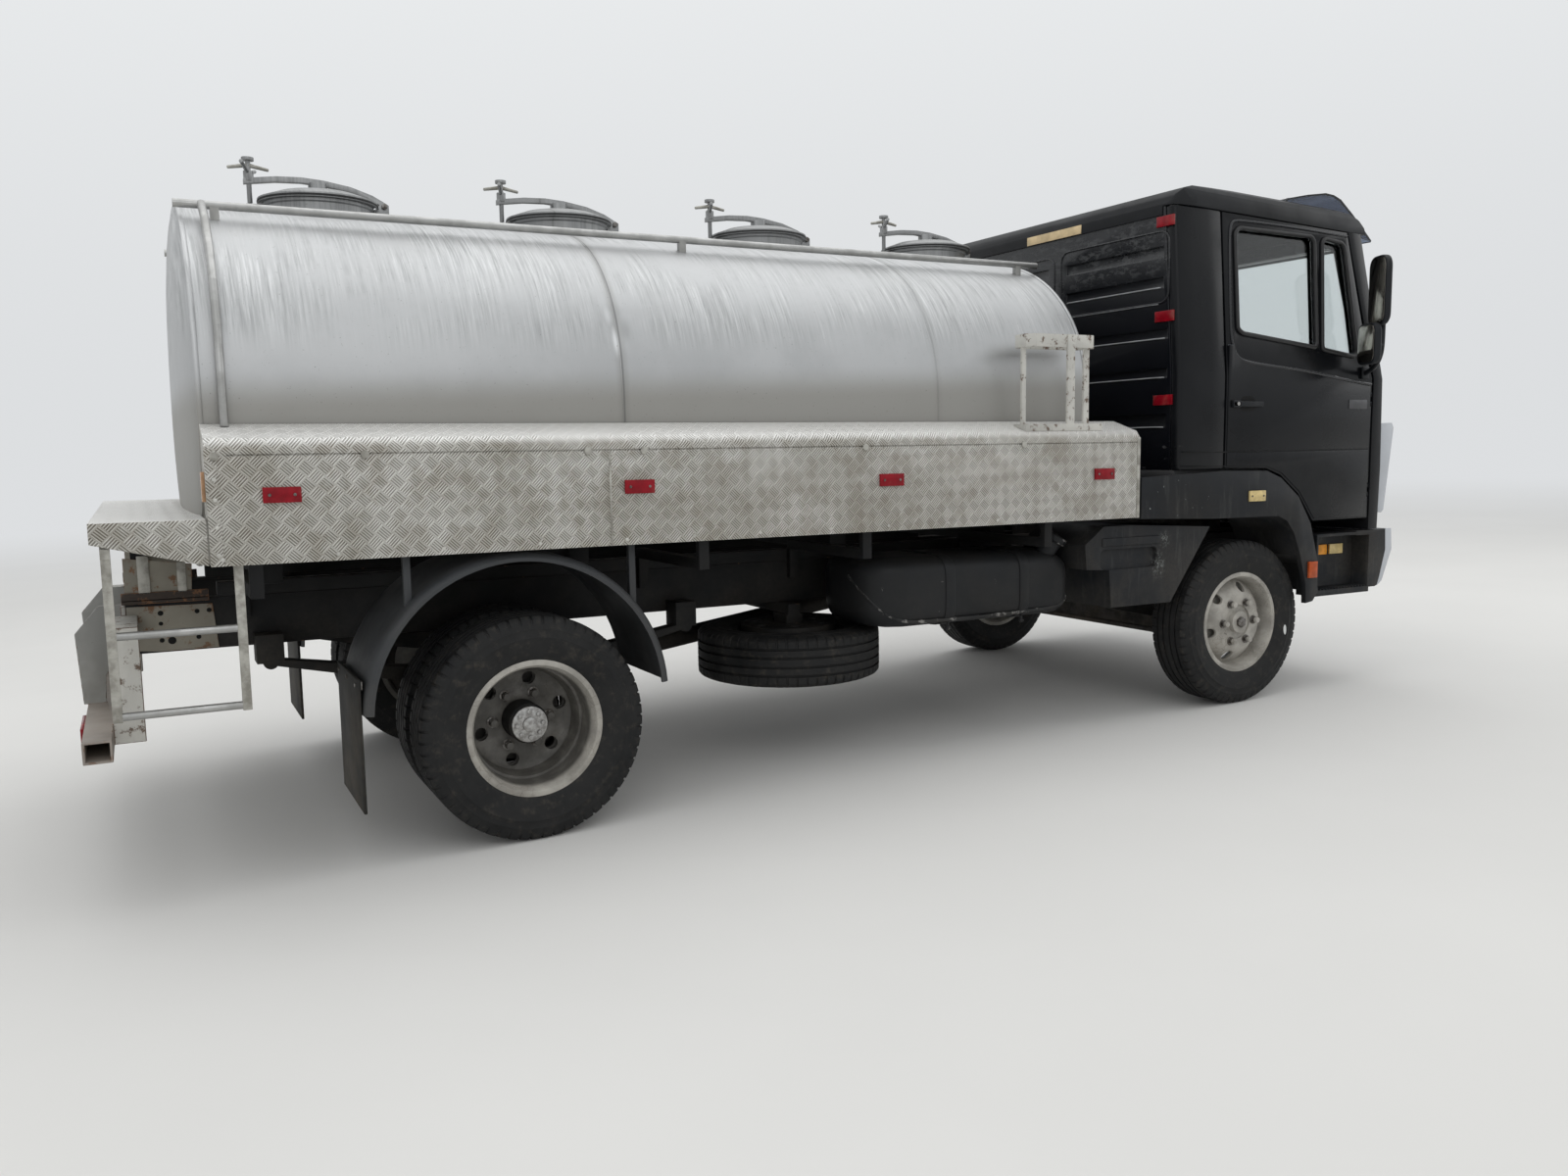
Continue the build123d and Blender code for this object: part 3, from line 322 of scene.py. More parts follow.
def plate(outline, plane, near, far, soft=0.0, segments=2):
    """Sheet with that outline, from near to far across the plane."""
    pick()
    bpy.ops.mesh.primitive_circle_add(vertices=len(outline), radius=1, fill_type="NGON")
    obj = bpy.context.object
    for vertex, (a, b) in zip(obj.data.vertices, outline):
        vertex.co = in_plane(plane, a, b, near)
    edit_all(obj)
    step = in_plane(plane, 0, 0, far - near)
    bpy.ops.mesh.extrude_region_move(TRANSFORM_OT_translate={"value": step})
    outward(obj)
    return round_edges(obj, soft, segments) if soft else obj


def drawn_line(points):
    """Row of edges through the points, drawn by extruding a single vertex."""
    pick()
    bpy.ops.mesh.primitive_plane_add(size=0.01, location=(0, 0, 0))
    obj = bpy.context.object
    edit_all(obj)
    bpy.ops.mesh.merge(type="CENTER")
    bpy.ops.transform.translate(value=points[0])
    for before, after in zip(points, points[1:]):
        bpy.ops.mesh.extrude_region_move(TRANSFORM_OT_translate={"value": after - before})
    bpy.ops.mesh.select_all(action="SELECT")
    return obj


def turned(outline, centre, axis="y", steps=64, start=0.0, sweep=360.0):
    """Turn an outline of (radius, offset) points about an axis through the centre."""
    along = Vector({"y": (0, 1, 0), "z": (0, 0, 1)}[axis])
    out = Matrix.Rotation(math.radians(start), 3, along) @ Vector((1, 0, 0))
    hub = Vector(centre) * MM
    obj = drawn_line([hub + (out * r + along * o) * MM for r, o in outline])
    bpy.ops.mesh.spin(steps=steps, angle=-math.radians(sweep), center=hub, axis=along)
    return outward(obj)


def tube(points, radius, closed=False, curved=True):
    """Round section along a line of points."""
    pick()
    bpy.ops.curve.primitive_nurbs_path_add()
    obj = bpy.context.object
    obj.data.splines.clear()
    line = obj.data.splines.new("NURBS" if curved else "POLY")
    line.points.add(len(points) - 1)
    for knot, point in zip(line.points, points):
        knot.co = (*(Vector(point) * MM), 1)
    line.use_cyclic_u = closed
    line.order_u = 3
    line.use_endpoint_u = True
    line.resolution_u = 5
    obj.data.bevel_depth = radius * MM
    obj.data.bevel_resolution = 3
    obj.data.use_fill_caps = True
    pick(obj)
    bpy.ops.object.convert(target="MESH")
    return outward(bpy.context.object)


def rect(a0, a1, b0, b1):
    return [(a0, b0), (a1, b0), (a1, b1), (a0, b1)]


def rounded(outline, radius, steps=4):
    """Outline with each corner replaced by points on an arc."""
    points = []
    count = len(outline)
    for i in range(count):
        before, here, after = (Vector(outline[(i + k) % count]) for k in (-1, 0, 1))
        back, ahead = (before - here), (after - here)
        reach = min(radius, back.length * 0.45, ahead.length * 0.45)
        a, b = here + back.normalized() * reach, here + ahead.normalized() * reach
        for k in range(steps + 1):
            t = k / steps
            points.append(tuple((1 - t) ** 2 * a + 2 * t * (1 - t) * here + t * t * b))
    return points


def crown(obj, inset, rise):
    """Inset the face that looks forward and push it out."""
    pick(obj)
    bpy.ops.object.mode_set(mode="EDIT")
    bpy.ops.mesh.select_mode(type="FACE")
    bpy.ops.mesh.select_all(action="DESELECT")
    leave_edit()
    max(obj.data.polygons, key=lambda face: face.center.x).select = True
    bpy.ops.object.mode_set(mode="EDIT")
    bpy.ops.mesh.inset(thickness=inset * MM, depth=rise * MM)
    bpy.ops.mesh.select_mode(type="VERT")
    leave_edit()
    return obj


def stuffed(pad, voxel=8.0, cap=14.0):
    """Swell a closed pad by cloth under pressure, no point by more than the cap."""
    applied(pad, "REMESH", mode="VOXEL", voxel_size=voxel * MM)
    before = [vertex.co.copy() for vertex in pad.data.vertices]
    cloth = pad.modifiers.new("cloth", "CLOTH")
    cloth.settings.use_pressure = True
    cloth.settings.uniform_pressure_force = 4.0
    cloth.settings.effector_weights.gravity = 0.0
    for number in range(1, 21):
        bpy.context.scene.frame_set(number)
    bpy.ops.object.modifier_apply(modifier=cloth.name)
    bpy.context.scene.frame_set(1)
    for vertex, start in zip(pad.data.vertices, before):
        move = vertex.co - start
        if move.length > cap * MM:
            vertex.co = start + move.normalized() * cap * MM
    return pad


def sewn(pad, lines, along, facing, depth=7, width=7):
    """Press channels into the side of a pad that faces that way; lines are places along an axis."""
    for vertex in pad.data.vertices:
        turn = max(0.0, vertex.normal.dot(facing))
        press = sum(math.exp(-((vertex.co[along] / MM - line) / width) ** 2) for line in lines)
        vertex.co -= facing * (depth * MM * press * turn)
    return pad


def dressed(node, width=3.0):
    """Copy of a CAD node with its flat faces joined and its sharp edges rounded."""
    source = frame["nodes"][node]
    obj = source.copy()
    obj.data = source.data.copy()
    bpy.context.scene.collection.objects.link(obj)
    obj.parent = None
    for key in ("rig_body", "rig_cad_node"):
        if key in obj:
            del obj[key]
    obj.data.materials.clear()
    edit_all(obj)
    bpy.ops.mesh.remove_doubles(threshold=0.08 * MM)
    bpy.ops.mesh.dissolve_limited(angle_limit=math.radians(0.6))
    leave_edit()
    bpy.ops.mesh.customdata_custom_splitnormals_clear()
    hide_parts(node)
    return round_edges(obj, width) if width else obj


def dress_nodes(table):
    """Rounded copies of CAD nodes: node, piece, edge radius, finish, slot (not used), and body if not the
    chassis.
    """
    for node, piece, width, finish, slot, *body in table:
        settle(dressed(node, width), piece, finish, body[0] if body else "chassis", LEVEL)


# Materials: a tree of shader nodes with short ways to add to it
def opaque(colour, share=1.0):
    """A socket as it is, or a plain colour at a share of its brightness with full alpha."""
    if isinstance(colour, bpy.types.NodeSocket):
        return colour
    return tuple(c * share for c in colour[:3]) + (1.0,)


def chosen(key):
    """Colour set by the user."""
    return tuple(getattr(bpy.context.scene.truck_colours, key))


EFFECTS = {}


class Recipe:
    def __init__(self, tree):
        self.tree = tree
        self.coordinates = None

    def fill(self, node, sockets):
        for key, value in sockets.items():
            if isinstance(value, bpy.types.NodeSocket):
                self.tree.links.new(value, node.inputs[key])
            else:
                node.inputs[key].default_value = value

    def node(self, kind, sockets=None, **settings):
        new = self.tree.nodes.new("ShaderNode" + kind)
        for key, value in settings.items():
            setattr(new, key, value)
        self.fill(new, sockets or {})
        return new

    def place(self):
        if self.coordinates is None:
            self.coordinates = self.node("TexCoord").outputs["Object"]
        return self.coordinates

    def split(self, vector):
        return self.node("SeparateXYZ", {0: vector}).outputs

    def height(self):
        return self.split(self.place())["Z"]

    def facing(self):
        """How far a face looks up."""
        return self.split(self.node("NewGeometry").outputs["Normal"])["Z"]

    def in_chassis(self):
        """Place in the chassis frame, in metres, split into X, Y and Z."""
        return self.split(self.node("Mapping", {"Vector": self.place(), "Location": CHASSIS.translation,
                                                "Rotation": CHASSIS.to_euler()},
                                                vector_type="TEXTURE").outputs[0])

    def calc(self, how, *values, clamp=False):
        return self.node("Math", dict(enumerate(values)), operation=how, use_clamp=clamp).outputs[0]

    def times(self, first, *others):
        for other in others:
            first = self.calc("MULTIPLY", first, other)
        return first

    def plus(self, first, *others):
        for other in others:
            first = self.calc("ADD", first, other)
        return first

    def less(self, first, second):
        return self.calc("SUBTRACT", first, second)

    def most(self, first, second):
        return self.calc("MAXIMUM", first, second)

    def off(self, value, centre):
        """Distance of a value from a centre."""
        return self.calc("ABSOLUTE", self.less(value, centre))

    def noise(self, scale, detail=3.0, roughness=0.55, stretch=(1, 1, 1)):
        mapped = self.node("Mapping", {"Vector": self.place(), "Scale": stretch}).outputs[0]
        return self.node("TexNoise", {"Vector": mapped, "Scale": scale, "Detail": detail,
                                      "Roughness": roughness}).outputs["Fac"]

    def between(self, value, low, high, to_low=0.0, to_high=1.0):
        return self.node("MapRange", {"Value": value, "From Min": low, "From Max": high, "To Min": to_low,
                                      "To Max": to_high}, interpolation_type="SMOOTHSTEP").outputs[0]

    def cloud(self, low, high, *noise):
        """Noise that runs from 0 to 1 between two of its levels."""
        return self.between(self.noise(*noise), low, high)

    def mix(self, factor, first, second):
        return self.node("Mix", {0: factor, 6: opaque(first), 7: opaque(second)}, data_type="RGBA").outputs[2]

    def tint(self, body, mask, share, colour):
        return self.mix(self.times(mask, share), body, colour)

    def near(self, spot, reach, full=0.5):
        """1 about a spot of the chassis frame, fading to 0 at its reach along each axis."""
        gap = self.node("VectorMath", {0: self.place(), 1: tuple(CHASSIS @ (Vector(spot) * MM))},
                        operation="SUBTRACT").outputs[0]
        scaled = self.node("VectorMath", {0: gap, 1: tuple(1 / (c * MM) for c in reach)},
                           operation="MULTIPLY").outputs[0]
        return self.between(self.length(scaled), 1.0, full)

    def length(self, vector):
        return self.node("VectorMath", {0: vector}, operation="LENGTH").outputs["Value"]

    def bump(self, height, strength, distance=0.001, **under):
        return self.node("Bump", {"Height": height, "Strength": strength, "Distance": distance,
                                  **under}).outputs[0]

    def effect(self, name, **values):
        new = self.node("Group")
        new.node_tree = EFFECTS[name]
        self.fill(new, {key.replace("_", " ").title(): value for key, value in values.items()})
        return new.outputs

    def mask(self, name, **values):
        return self.effect(name, **values)["Mask"]

    def dust(self, top, bottom, on_top, amount):
        return self.mask("dust", top=top, bottom=bottom, on_top=on_top, amount=amount)

    def waves(self, scale, **settings):
        return self.node("TexWave", {"Vector": self.place(), "Scale": scale}, **settings).outputs["Fac"]


def dust_inside(r, given):
    """Dust that gathers low down and on faces that look up, broken by noise."""
    low = r.node("MapRange", {"Value": r.height(), "From Min": given["Top"],
                              "From Max": given["Bottom"]}).outputs[0]
    upward = r.times(r.between(r.facing(), 0.3, 1.0), given["On Top"])
    fine = r.between(r.noise(70.0, 3.0, 0.7), 0.3, 0.75, 0.55, 1.0)
    mask = r.times(r.most(low, upward), r.cloud(0.32, 0.68, 5.0, 6.0, 0.62), fine)
    return {"Mask": r.calc("MULTIPLY", mask, given["Amount"], clamp=True)}


def chips_inside(r, given):
    """Broken patches, more of them on marked edges."""
    edge = r.node("Attribute", attribute_name="edge").outputs["Fac"]
    spread = r.plus(r.noise(given["Scale"], 6.0, 0.7), r.times(edge, given["Edges"]))
    return {"Mask": r.calc("MULTIPLY", r.less(spread, r.less(1.0, given["Amount"])), 14.0, clamp=True)}


def runs_inside(r, given):
    """Streaks that run down round the girth, broken along their length."""
    lines = r.cloud(0.36, 0.72, given["Scale"], 4.0, 0.65, (1, 0.035, 0.035))
    return {"Mask": r.times(lines, r.cloud(0.35, 0.62, 3.2, 4.0, 0.6))}


def bars_inside(r, given):
    """Groups of five raised bars, turned a quarter from one cell to the next."""
    flat = r.split(given["Vector"])
    size = r.calc("DIVIDE", 0.70710678, given["Cell"])
    p = r.times(r.plus(flat[0], flat[1]), size)
    q = r.times(r.less(flat[0], flat[1]), size)
    cells = r.plus(r.calc("FLOOR", p), r.calc("FLOOR", q))
    turn = r.calc("GREATER_THAN", r.calc("FRACT", r.times(cells, 0.5)), 0.25)
    a, b = r.calc("FRACT", p), r.calc("FRACT", q)
    straight = r.less(1.0, turn)
    across = r.plus(r.times(a, turn), r.times(b, straight))
    along = r.plus(r.times(b, turn), r.times(a, straight))
    ridge = r.between(r.off(r.calc("FRACT", r.times(across, 5.0)), 0.5), 0.40, 0.12)
    ends = r.between(r.off(along, 0.5), 0.50, 0.43)
    border = r.between(r.most(r.off(a, 0.5), r.off(b, 0.5)), 0.43, 0.48)
    high = r.times(ridge, ends, r.less(1.0, border))
    return {"Height": r.plus(high, r.times(border, 0.55)), "Turn": turn}


def effect_group(name, inputs, outputs, build):
    """Node group whose inside is made by build; an input without a value is a vector."""
    group = bpy.data.node_groups.new(name, "ShaderNodeTree")
    for label, start in inputs.items():
        kind = "NodeSocketVector" if start is None else "NodeSocketFloat"
        socket = group.interface.new_socket(name=label, in_out="INPUT", socket_type=kind)
        if start is not None:
            socket.default_value = start
    for label in outputs:
        group.interface.new_socket(name=label, in_out="OUTPUT", socket_type="NodeSocketFloat")
    source = group.nodes.new("NodeGroupInput").outputs
    target = group.nodes.new("NodeGroupOutput").inputs
    for label, value in build(Recipe(group), source).items():
        group.links.new(value, target[label])
    EFFECTS[name] = group


def make_effects():
    effect_group("dust", {"Top": 0.9, "Bottom": 0.2, "On Top": 0.5, "Amount": 1.0}, ["Mask"], dust_inside)
    effect_group("chips", {"Scale": 20.0, "Amount": 0.3, "Edges": 0.1}, ["Mask"], chips_inside)
    effect_group("runs", {"Scale": 30.0}, ["Mask"], runs_inside)
    effect_group("bars", {"Vector": None, "Cell": 0.038}, ["Height", "Turn"], bars_inside)


def started(name):
    material = bpy.data.materials.new(name)
    material.use_nodes = True
    material.node_tree.nodes.clear()
    FINISH[name] = material
    recipe = Recipe(material.node_tree)
    recipe.material = material
    return recipe


def finished(recipe, colour, rough, metal=0.0, **plain):
    """Close a material with its Principled shader; plain holds what goes to the shader's other sockets."""
    sockets = {"Base Color": opaque(colour), "Roughness": rough, "Metallic": metal}
    for key, value in plain.items():
        sockets[key.replace("_", " ").title().replace("Ior", "IOR")] = value
    shader = recipe.node("BsdfPrincipled", sockets)
    recipe.node("OutputMaterial", {"Surface": shader.outputs[0]})


def painted(name, colour, gloss, dust, chips=0.0, under=(0.16, 0.09, 0.05), grain=0.15, edges=0.12,
            top=0.9, on_top=0.5, shade=0.35):
    """Paint with uneven colour, dust from below, and chips down to what lies under it."""
    r = started(name)
    body = r.mix(r.cloud(0.35, 0.65, 2.3, 5.0, 0.6), opaque(colour, 1 - shade), colour)
    gone = r.mask("chips", scale=26.0, amount=chips, edges=edges)
    veil = r.dust(top, 0.15, on_top, dust)
    body = r.mix(veil, r.mix(gone, body, under), chosen("dust"))
    rough = r.between(r.plus(veil, r.noise(9.0, 4.0)), 0.2, 1.5, gloss, min(1.0, gloss + 0.4))
    height = r.less(r.times(r.noise(380.0, 2.0), grain), r.times(gone, 0.8))
    finished(r, body, rough, normal=r.bump(height, 0.5, 0.0006),
             specular_ior_level=0.25 if max(colour) < 0.04 else 0.5)


def cab_paint():
    """Faded black coach paint: glossy patches, dull haze, pale scratches, painted dark reflection up high,
    painted highlight on the ledge under the windows.
    """
    r = started("cab_paint")
    haze = r.cloud(0.38, 0.66, 1.7, 5.0, 0.6)
    body = r.mix(haze, chosen("cab"), (0.0080, 0.0087, 0.0104))
    marks = r.times(r.cloud(0.655, 0.70, 42.0, 6.0, 0.75, (0.35, 0.35, 1.6)), r.cloud(0.56, 0.72, 2.1, 2.0))
    body = r.tint(body, marks, 0.45, (0.15, 0.145, 0.14))
    veil = r.dust(1.35, 0.75, 0.10, 0.16)
    body = r.mix(veil, body, (0.095, 0.092, 0.085))
    level = r.in_chassis()["Z"]
    # painted reflection: the door is painted darker above the belt, where its gloss would mirror dark things
    # above
    body = r.tint(body, r.between(level, 1.60, 1.76), 0.6, (0.0026, 0.0030, 0.0040))
    # painted highlight: faces that look up along the ledge under the windows are painted pale, standing in
    # for the sky they reflect
    belt = r.times(r.between(level, 1.30, 1.34), r.between(level, 1.84, 1.80))
    body = r.tint(body, belt, r.between(r.facing(), 0.22, 0.50), (0.17, 0.185, 0.21))
    rough = r.between(r.plus(haze, r.plus(r.times(marks, 0.8), veil)), 0.0, 1.6, 0.24, 0.60)
    wave = r.plus(r.times(r.noise(3.4, 2.0), 2.2), r.times(r.noise(260.0, 2.0), 0.06))
    finished(r, body, rough, normal=r.bump(wave, 0.25, 0.002), specular_ior_level=0.15, coat_weight=0.09,
             coat_roughness=0.12)


def wall_paint():
    """Rear wall of the cab: deep blue-black gloss, scraped grey along its top, scuffed at its foot."""
    r = started("wall_paint")
    deep = r.mix(r.cloud(0.35, 0.65, 2.0, 4.0), (0.0028, 0.0034, 0.0056), (0.0060, 0.0066, 0.0088))
    height = r.height()
    scraped = r.cloud(0.46, 0.62, 15.0, 7.0, 0.74, (1, 1, 2.4))
    film = r.between(r.noise(3.0, 4.0), 0.3, 0.6, 0.25, 0.7)
    worn = r.times(r.between(height, 1.96, 2.14), r.most(scraped, r.times(film, 0.45)))
    body = r.tint(deep, worn, 0.85, (0.062, 0.064, 0.066))
    foot = r.times(r.cloud(0.60, 0.68, 34.0, 6.0, 0.7, (1, 0.4, 1)), r.between(height, 1.40, 1.24))
    body = r.tint(body, foot, 0.7, (0.075, 0.075, 0.078))
    rough = r.between(r.plus(worn, r.times(foot, 0.8)), 0.0, 1.0, 0.22, 0.58)
    finished(r, body, rough, normal=r.bump(r.noise(4.0, 2.0), 0.2, 0.004), specular_ior_level=0.34,
             coat_weight=0.15, coat_roughness=0.12)


def stainless():
    """Brushed steel sheet: rain runs on its upper half, cloudy stains, a painted ground reflection darkening
    its belly, and one dent with painted highlight and shade.
    """
    r = started("stainless")
    height, own = r.height(), r.in_chassis()
    upper = r.between(height, 1.66, 1.84)
    runs, dark, thin = (r.times(r.mask("runs", scale=scale), upper) for scale in (46.0, 92.0, 170.0))
    cloud = r.cloud(0.34, 0.66, 2.6, 6.0, 0.62)
    body = r.mix(cloud, opaque(chosen("steel"), 0.88), chosen("steel"))
    # painted reflection of the ground: the lower shell is painted darker and beige; the same mask also makes
    # it a little rougher
    belly_ground_reflection = r.between(height, 1.64, 1.51)
    for mask, share, colour in ((runs, 0.34, (0.24, 0.245, 0.245)), (dark, 0.34, (0.20, 0.205, 0.205)),
                                (thin, 0.42, (0.80, 0.81, 0.81)), (belly_ground_reflection, 0.60, (0.27, 0.255, 0.22))):
        body = r.tint(body, mask, share, colour)
    for station, depth in zip(TANK_SEAMS, (1.0, 0.35)):
        gap = r.off(own["X"], station * MM)
        body = r.tint(body, r.between(gap, 0.030, 0.008), 0.30 * depth, (0.24, 0.235, 0.22))
        body = r.tint(body, r.between(gap, 0.006, 0.001), 0.55 * depth, (0.10, 0.10, 0.10))
    body = r.tint(body, r.between(own["Z"], 2.232, 2.246), 0.60, (0.17, 0.172, 0.172))
    # painted highlight on the rear side of the dent and painted shade ahead of it
    lit = r.most(r.near((372, -905, 1835), (26, 90, 62), 0.0), r.near((385, -915, 1745), (16, 60, 90), 0.1))
    body = r.tint(body, lit, 0.75, (0.86, 0.87, 0.88))
    body = r.tint(body, r.near((432, -905, 1775), (34, 90, 74), 0.0), 0.50, (0.22, 0.222, 0.22))
    veil = r.dust(1.35, 1.0, 0.10, 0.5)
    body = r.mix(veil, body, (0.34, 0.30, 0.24))
    body = r.tint(body, r.cloud(0.70, 0.76, 150.0, 2.0, 0.5), 0.5, (0.14, 0.13, 0.12))
    brushed = r.noise(900.0, 2.0, 0.6, (0.02, 1, 1))
    rough = r.plus(r.between(r.plus(cloud, runs), 0.0, 1.6, 0.42, 0.52), r.times(brushed, 0.06),
                   r.times(r.most(veil, belly_ground_reflection), 0.08))
    dent = r.times(r.near((392, -905, 1790), (70, 120, 110), 0.0), -1.6)
    sheet = r.bump(r.plus(r.noise(1.6, 2.0), dent), 0.28, 0.02)
    grain = r.plus(r.times(brushed, 0.25), r.times(runs, 0.12))
    finished(r, body, rough, metal=1.0, normal=r.bump(grain, 0.25, 0.0006, Normal=sheet))


def tread_plate():
    """Embossed aluminium: worn bars in two lays, one lay in painted shade, painted light on faces that look
    up, brown dirt held between them.
    """
    r = started("tread_plate")
    laid = r.node("UVMap", uv_map="plate").outputs[0]
    bars = r.effect("bars", vector=laid, cell=bpy.context.scene.truck_sizes.plate_cell)
    high = bars["Height"]
    cloud = r.cloud(0.36, 0.64, 2.2, 6.0, 0.66)
    blotch = r.cloud(0.44, 0.62, 9.0, 5.0, 0.62)
    dirt = r.mix(cloud, (0.075, 0.064, 0.048), (0.165, 0.15, 0.125))
    bright = r.mix(cloud, (0.60, 0.585, 0.535), chosen("plate"))
    valley = r.mix(r.plus(r.times(blotch, 0.20), 0.76), bright, dirt)
    body = r.mix(high, valley, bright)
    # the lay marked by Turn is painted darker, a painted shade for how the two lays catch the light; blotches
    # and runs are dirt
    for mask, share, colour in ((bars["Turn"], 0.24, (0.20, 0.185, 0.155)),
                                (blotch, 0.30, (0.23, 0.195, 0.14)),
                                (r.mask("runs", scale=22.0), 0.20, (0.19, 0.17, 0.135))):
        body = r.tint(body, mask, share, colour)
    # painted light: faces that look up are painted much lighter, the bars almost white
    top_light = r.mix(high, (0.50, 0.49, 0.46), (0.97, 0.965, 0.95))
    body = r.tint(body, r.between(r.facing(), 0.25, 0.85), 0.80, top_light)
    rough = r.less(0.60, r.times(high, 0.22))
    height = r.plus(high, r.times(r.noise(300.0, 2.0), 0.06))
    finished(r, body, rough, metal=0.45, normal=r.bump(height, 0.9, 0.0026))


def worn_metal(name, bright, dull, rough, dirt=0.35, metal=1.0, scale=18.0):
    r = started(name)
    cloud = r.cloud(0.36, 0.66, scale, 6.0, 0.65)
    veil = r.dust(0.9, 0.2, 0.4, dirt)
    body = r.mix(veil, r.mix(cloud, dull, bright), chosen("dust"))
    shine = r.plus(r.between(cloud, 0.0, 1.0, rough + 0.15, rough), r.times(veil, 0.4))
    height = r.plus(r.times(r.noise(420.0, 2.0, 0.6, (0.05, 1, 1)), 0.4), r.times(r.noise(60.0, 4.0), 0.5))
    finished(r, body, shine, metal=metal, normal=r.bump(height, 0.35, 0.0006))


def tyre_rubber():
    """Rubber with a grey bloom on the walls, brown dust on the tread and one chalk mark."""
    r = started("tyre_rubber")
    bloom = r.cloud(0.34, 0.68, 7.0, 6.0, 0.65)
    body = r.mix(bloom, (0.0085, 0.0088, 0.0092), (0.022, 0.0218, 0.0215))
    body = r.tint(body, r.cloud(0.50, 0.74, 26.0, 6.0, 0.7), 0.12, chosen("dust"))
    body = r.mix(r.near((3774, -1038, 417), (9, 60, 27), 0.8), body, (0.62, 0.63, 0.62))
    height = r.plus(r.noise(240.0, 3.0), r.times(r.noise(34.0, 3.0), 0.5))
    finished(r, body, r.between(bloom, 0.0, 1.0, 0.62, 0.82), normal=r.bump(height, 0.3, 0.0008),
             specular_ior_level=0.26)


def wheel_paint(name, hollow):
    """Old grey rim paint: fine cracks, dust, painted shade of that strength deep in the hollows, rust at the
    edges.
    """
    r = started(name)
    cloud = r.cloud(0.35, 0.66, 9.0, 6.0, 0.65)
    body = r.mix(cloud, opaque(chosen("wheel"), 0.62), chosen("wheel"))
    cells = r.node("TexVoronoi", {"Vector": r.place(), "Scale": 34.0}, feature="DISTANCE_TO_EDGE")
    crack = r.times(r.between(cells.outputs["Distance"], 0.022, 0.0), r.cloud(0.45, 0.6, 5.0, 2.0))
    body = r.tint(body, crack, 0.75, (0.07, 0.06, 0.05))
    body = r.tint(body, r.mask("chips", scale=40.0, amount=0.30, edges=0.08), 0.6, (0.15, 0.085, 0.045))
    body = r.mix(r.dust(0.8, 0.1, 0.5, 0.35), body, (0.24, 0.205, 0.16))
    aside = r.calc("ABSOLUTE", r.split(r.place())["Y"])
    # painted shade deep inside the wheel, broken by noise; hollow sets its strength
    hollow_shade = r.times(r.between(aside, 1.014, 0.985), r.between(r.noise(14.0, 5.0), 0.25, 0.6, 0.72, 1.0))
    body = r.tint(body, hollow_shade, hollow, (0.040, 0.037, 0.032))
    height = r.less(r.times(r.noise(120.0, 3.0), 0.4), crack)
    finished(r, body, r.between(cloud, 0.0, 1.0, 0.62, 0.45), normal=r.bump(height, 0.35, 0.0007))


def moulding():
    """Weathered black plastic: grey bloom, white splashes on the wing, scuffs on the box behind the wheel."""
    r = started("moulding")
    bloom = r.cloud(0.35, 0.68, 3.0, 5.0, 0.6)
    body = r.mix(bloom, opaque(chosen("moulding"), 0.62), chosen("moulding"))
    body = r.tint(body, r.cloud(0.52, 0.72, 26.0, 5.0, 0.65, (1, 1, 0.12)), 0.16, (0.14, 0.14, 0.13))
    drops = r.cloud(0.70, 0.735, 62.0, 2.0, 0.6, (1, 1, 0.7))
    splash = r.times(drops, r.near((2970, -1090, 1085), (230, 60, 95), 0.7))
    body = r.tint(body, splash, 0.8, (0.42, 0.44, 0.44))
    scuffed = r.most(r.near((2945, -1040, 905), (52, 40, 50), 0.2),
                     r.near((2912, -1040, 790), (55, 40, 85), 0.2))
    body = r.tint(body, r.times(r.cloud(0.50, 0.60, 48.0, 6.0, 0.8), scuffed), 0.75, (0.17, 0.185, 0.18))
    veil = r.dust(1.15, 0.3, 0.30, 0.20)
    body = r.mix(veil, body, chosen("dust"))
    height = r.plus(r.noise(300.0, 2.0), r.times(r.noise(30.0, 4.0), 0.6))
    finished(r, body, r.between(r.plus(bloom, veil), 0.0, 1.4, 0.42, 0.70),
             normal=r.bump(height, 0.3, 0.0006), specular_ior_level=0.24)


def clear_glass(name, colour, rough=0.03):
    r = started(name)
    smear = r.between(r.noise(6.0, 5.0), 0.4, 0.8, rough, rough + 0.06)
    finished(r, colour, smear, transmission_weight=1.0, ior=1.45)


def lens(name, colour, depth=0.0006):
    """Moulded lens: ribbed under a glossy face, dusty."""
    r = started(name)
    body = r.mix(r.cloud(0.35, 0.7, 30.0, 4.0), opaque(colour, 0.7), colour)
    body = r.tint(body, r.cloud(0.5, 0.75, 12.0, 5.0), 0.12, (0.4, 0.34, 0.26))
    finished(r, body, 0.22, normal=r.bump(r.waves(70.0, bands_direction="X"), 0.3, depth),
             specular_ior_level=0.16, coat_weight=0.14, coat_roughness=0.10)


def seat_cloth():
    r = started("seat_cloth")
    weave = r.times(r.waves(260.0), r.waves(260.0, bands_direction="Z"))
    body = r.mix(r.cloud(0.35, 0.65, 6.0, 4.0), (0.07, 0.07, 0.075), (0.11, 0.11, 0.115))
    body = r.tint(body, weave, 0.5, (0.17, 0.17, 0.18))
    finished(r, body, 0.9, normal=r.bump(weave, 0.4, 0.001), sheen_weight=0.3)


def plain_trim(name, colour, rough, metal=0.0):
    """Small trim: slightly uneven colour and a fine grain."""
    r = started(name)
    body = r.mix(r.cloud(0.35, 0.65, 16.0, 4.0), opaque(colour, 0.75), colour)
    finished(r, body, r.between(r.noise(20.0, 3.0), 0.3, 0.7, rough, min(1, rough + 0.12)), metal=metal,
             normal=r.bump(r.noise(500.0, 2.0), 0.15, 0.0004))


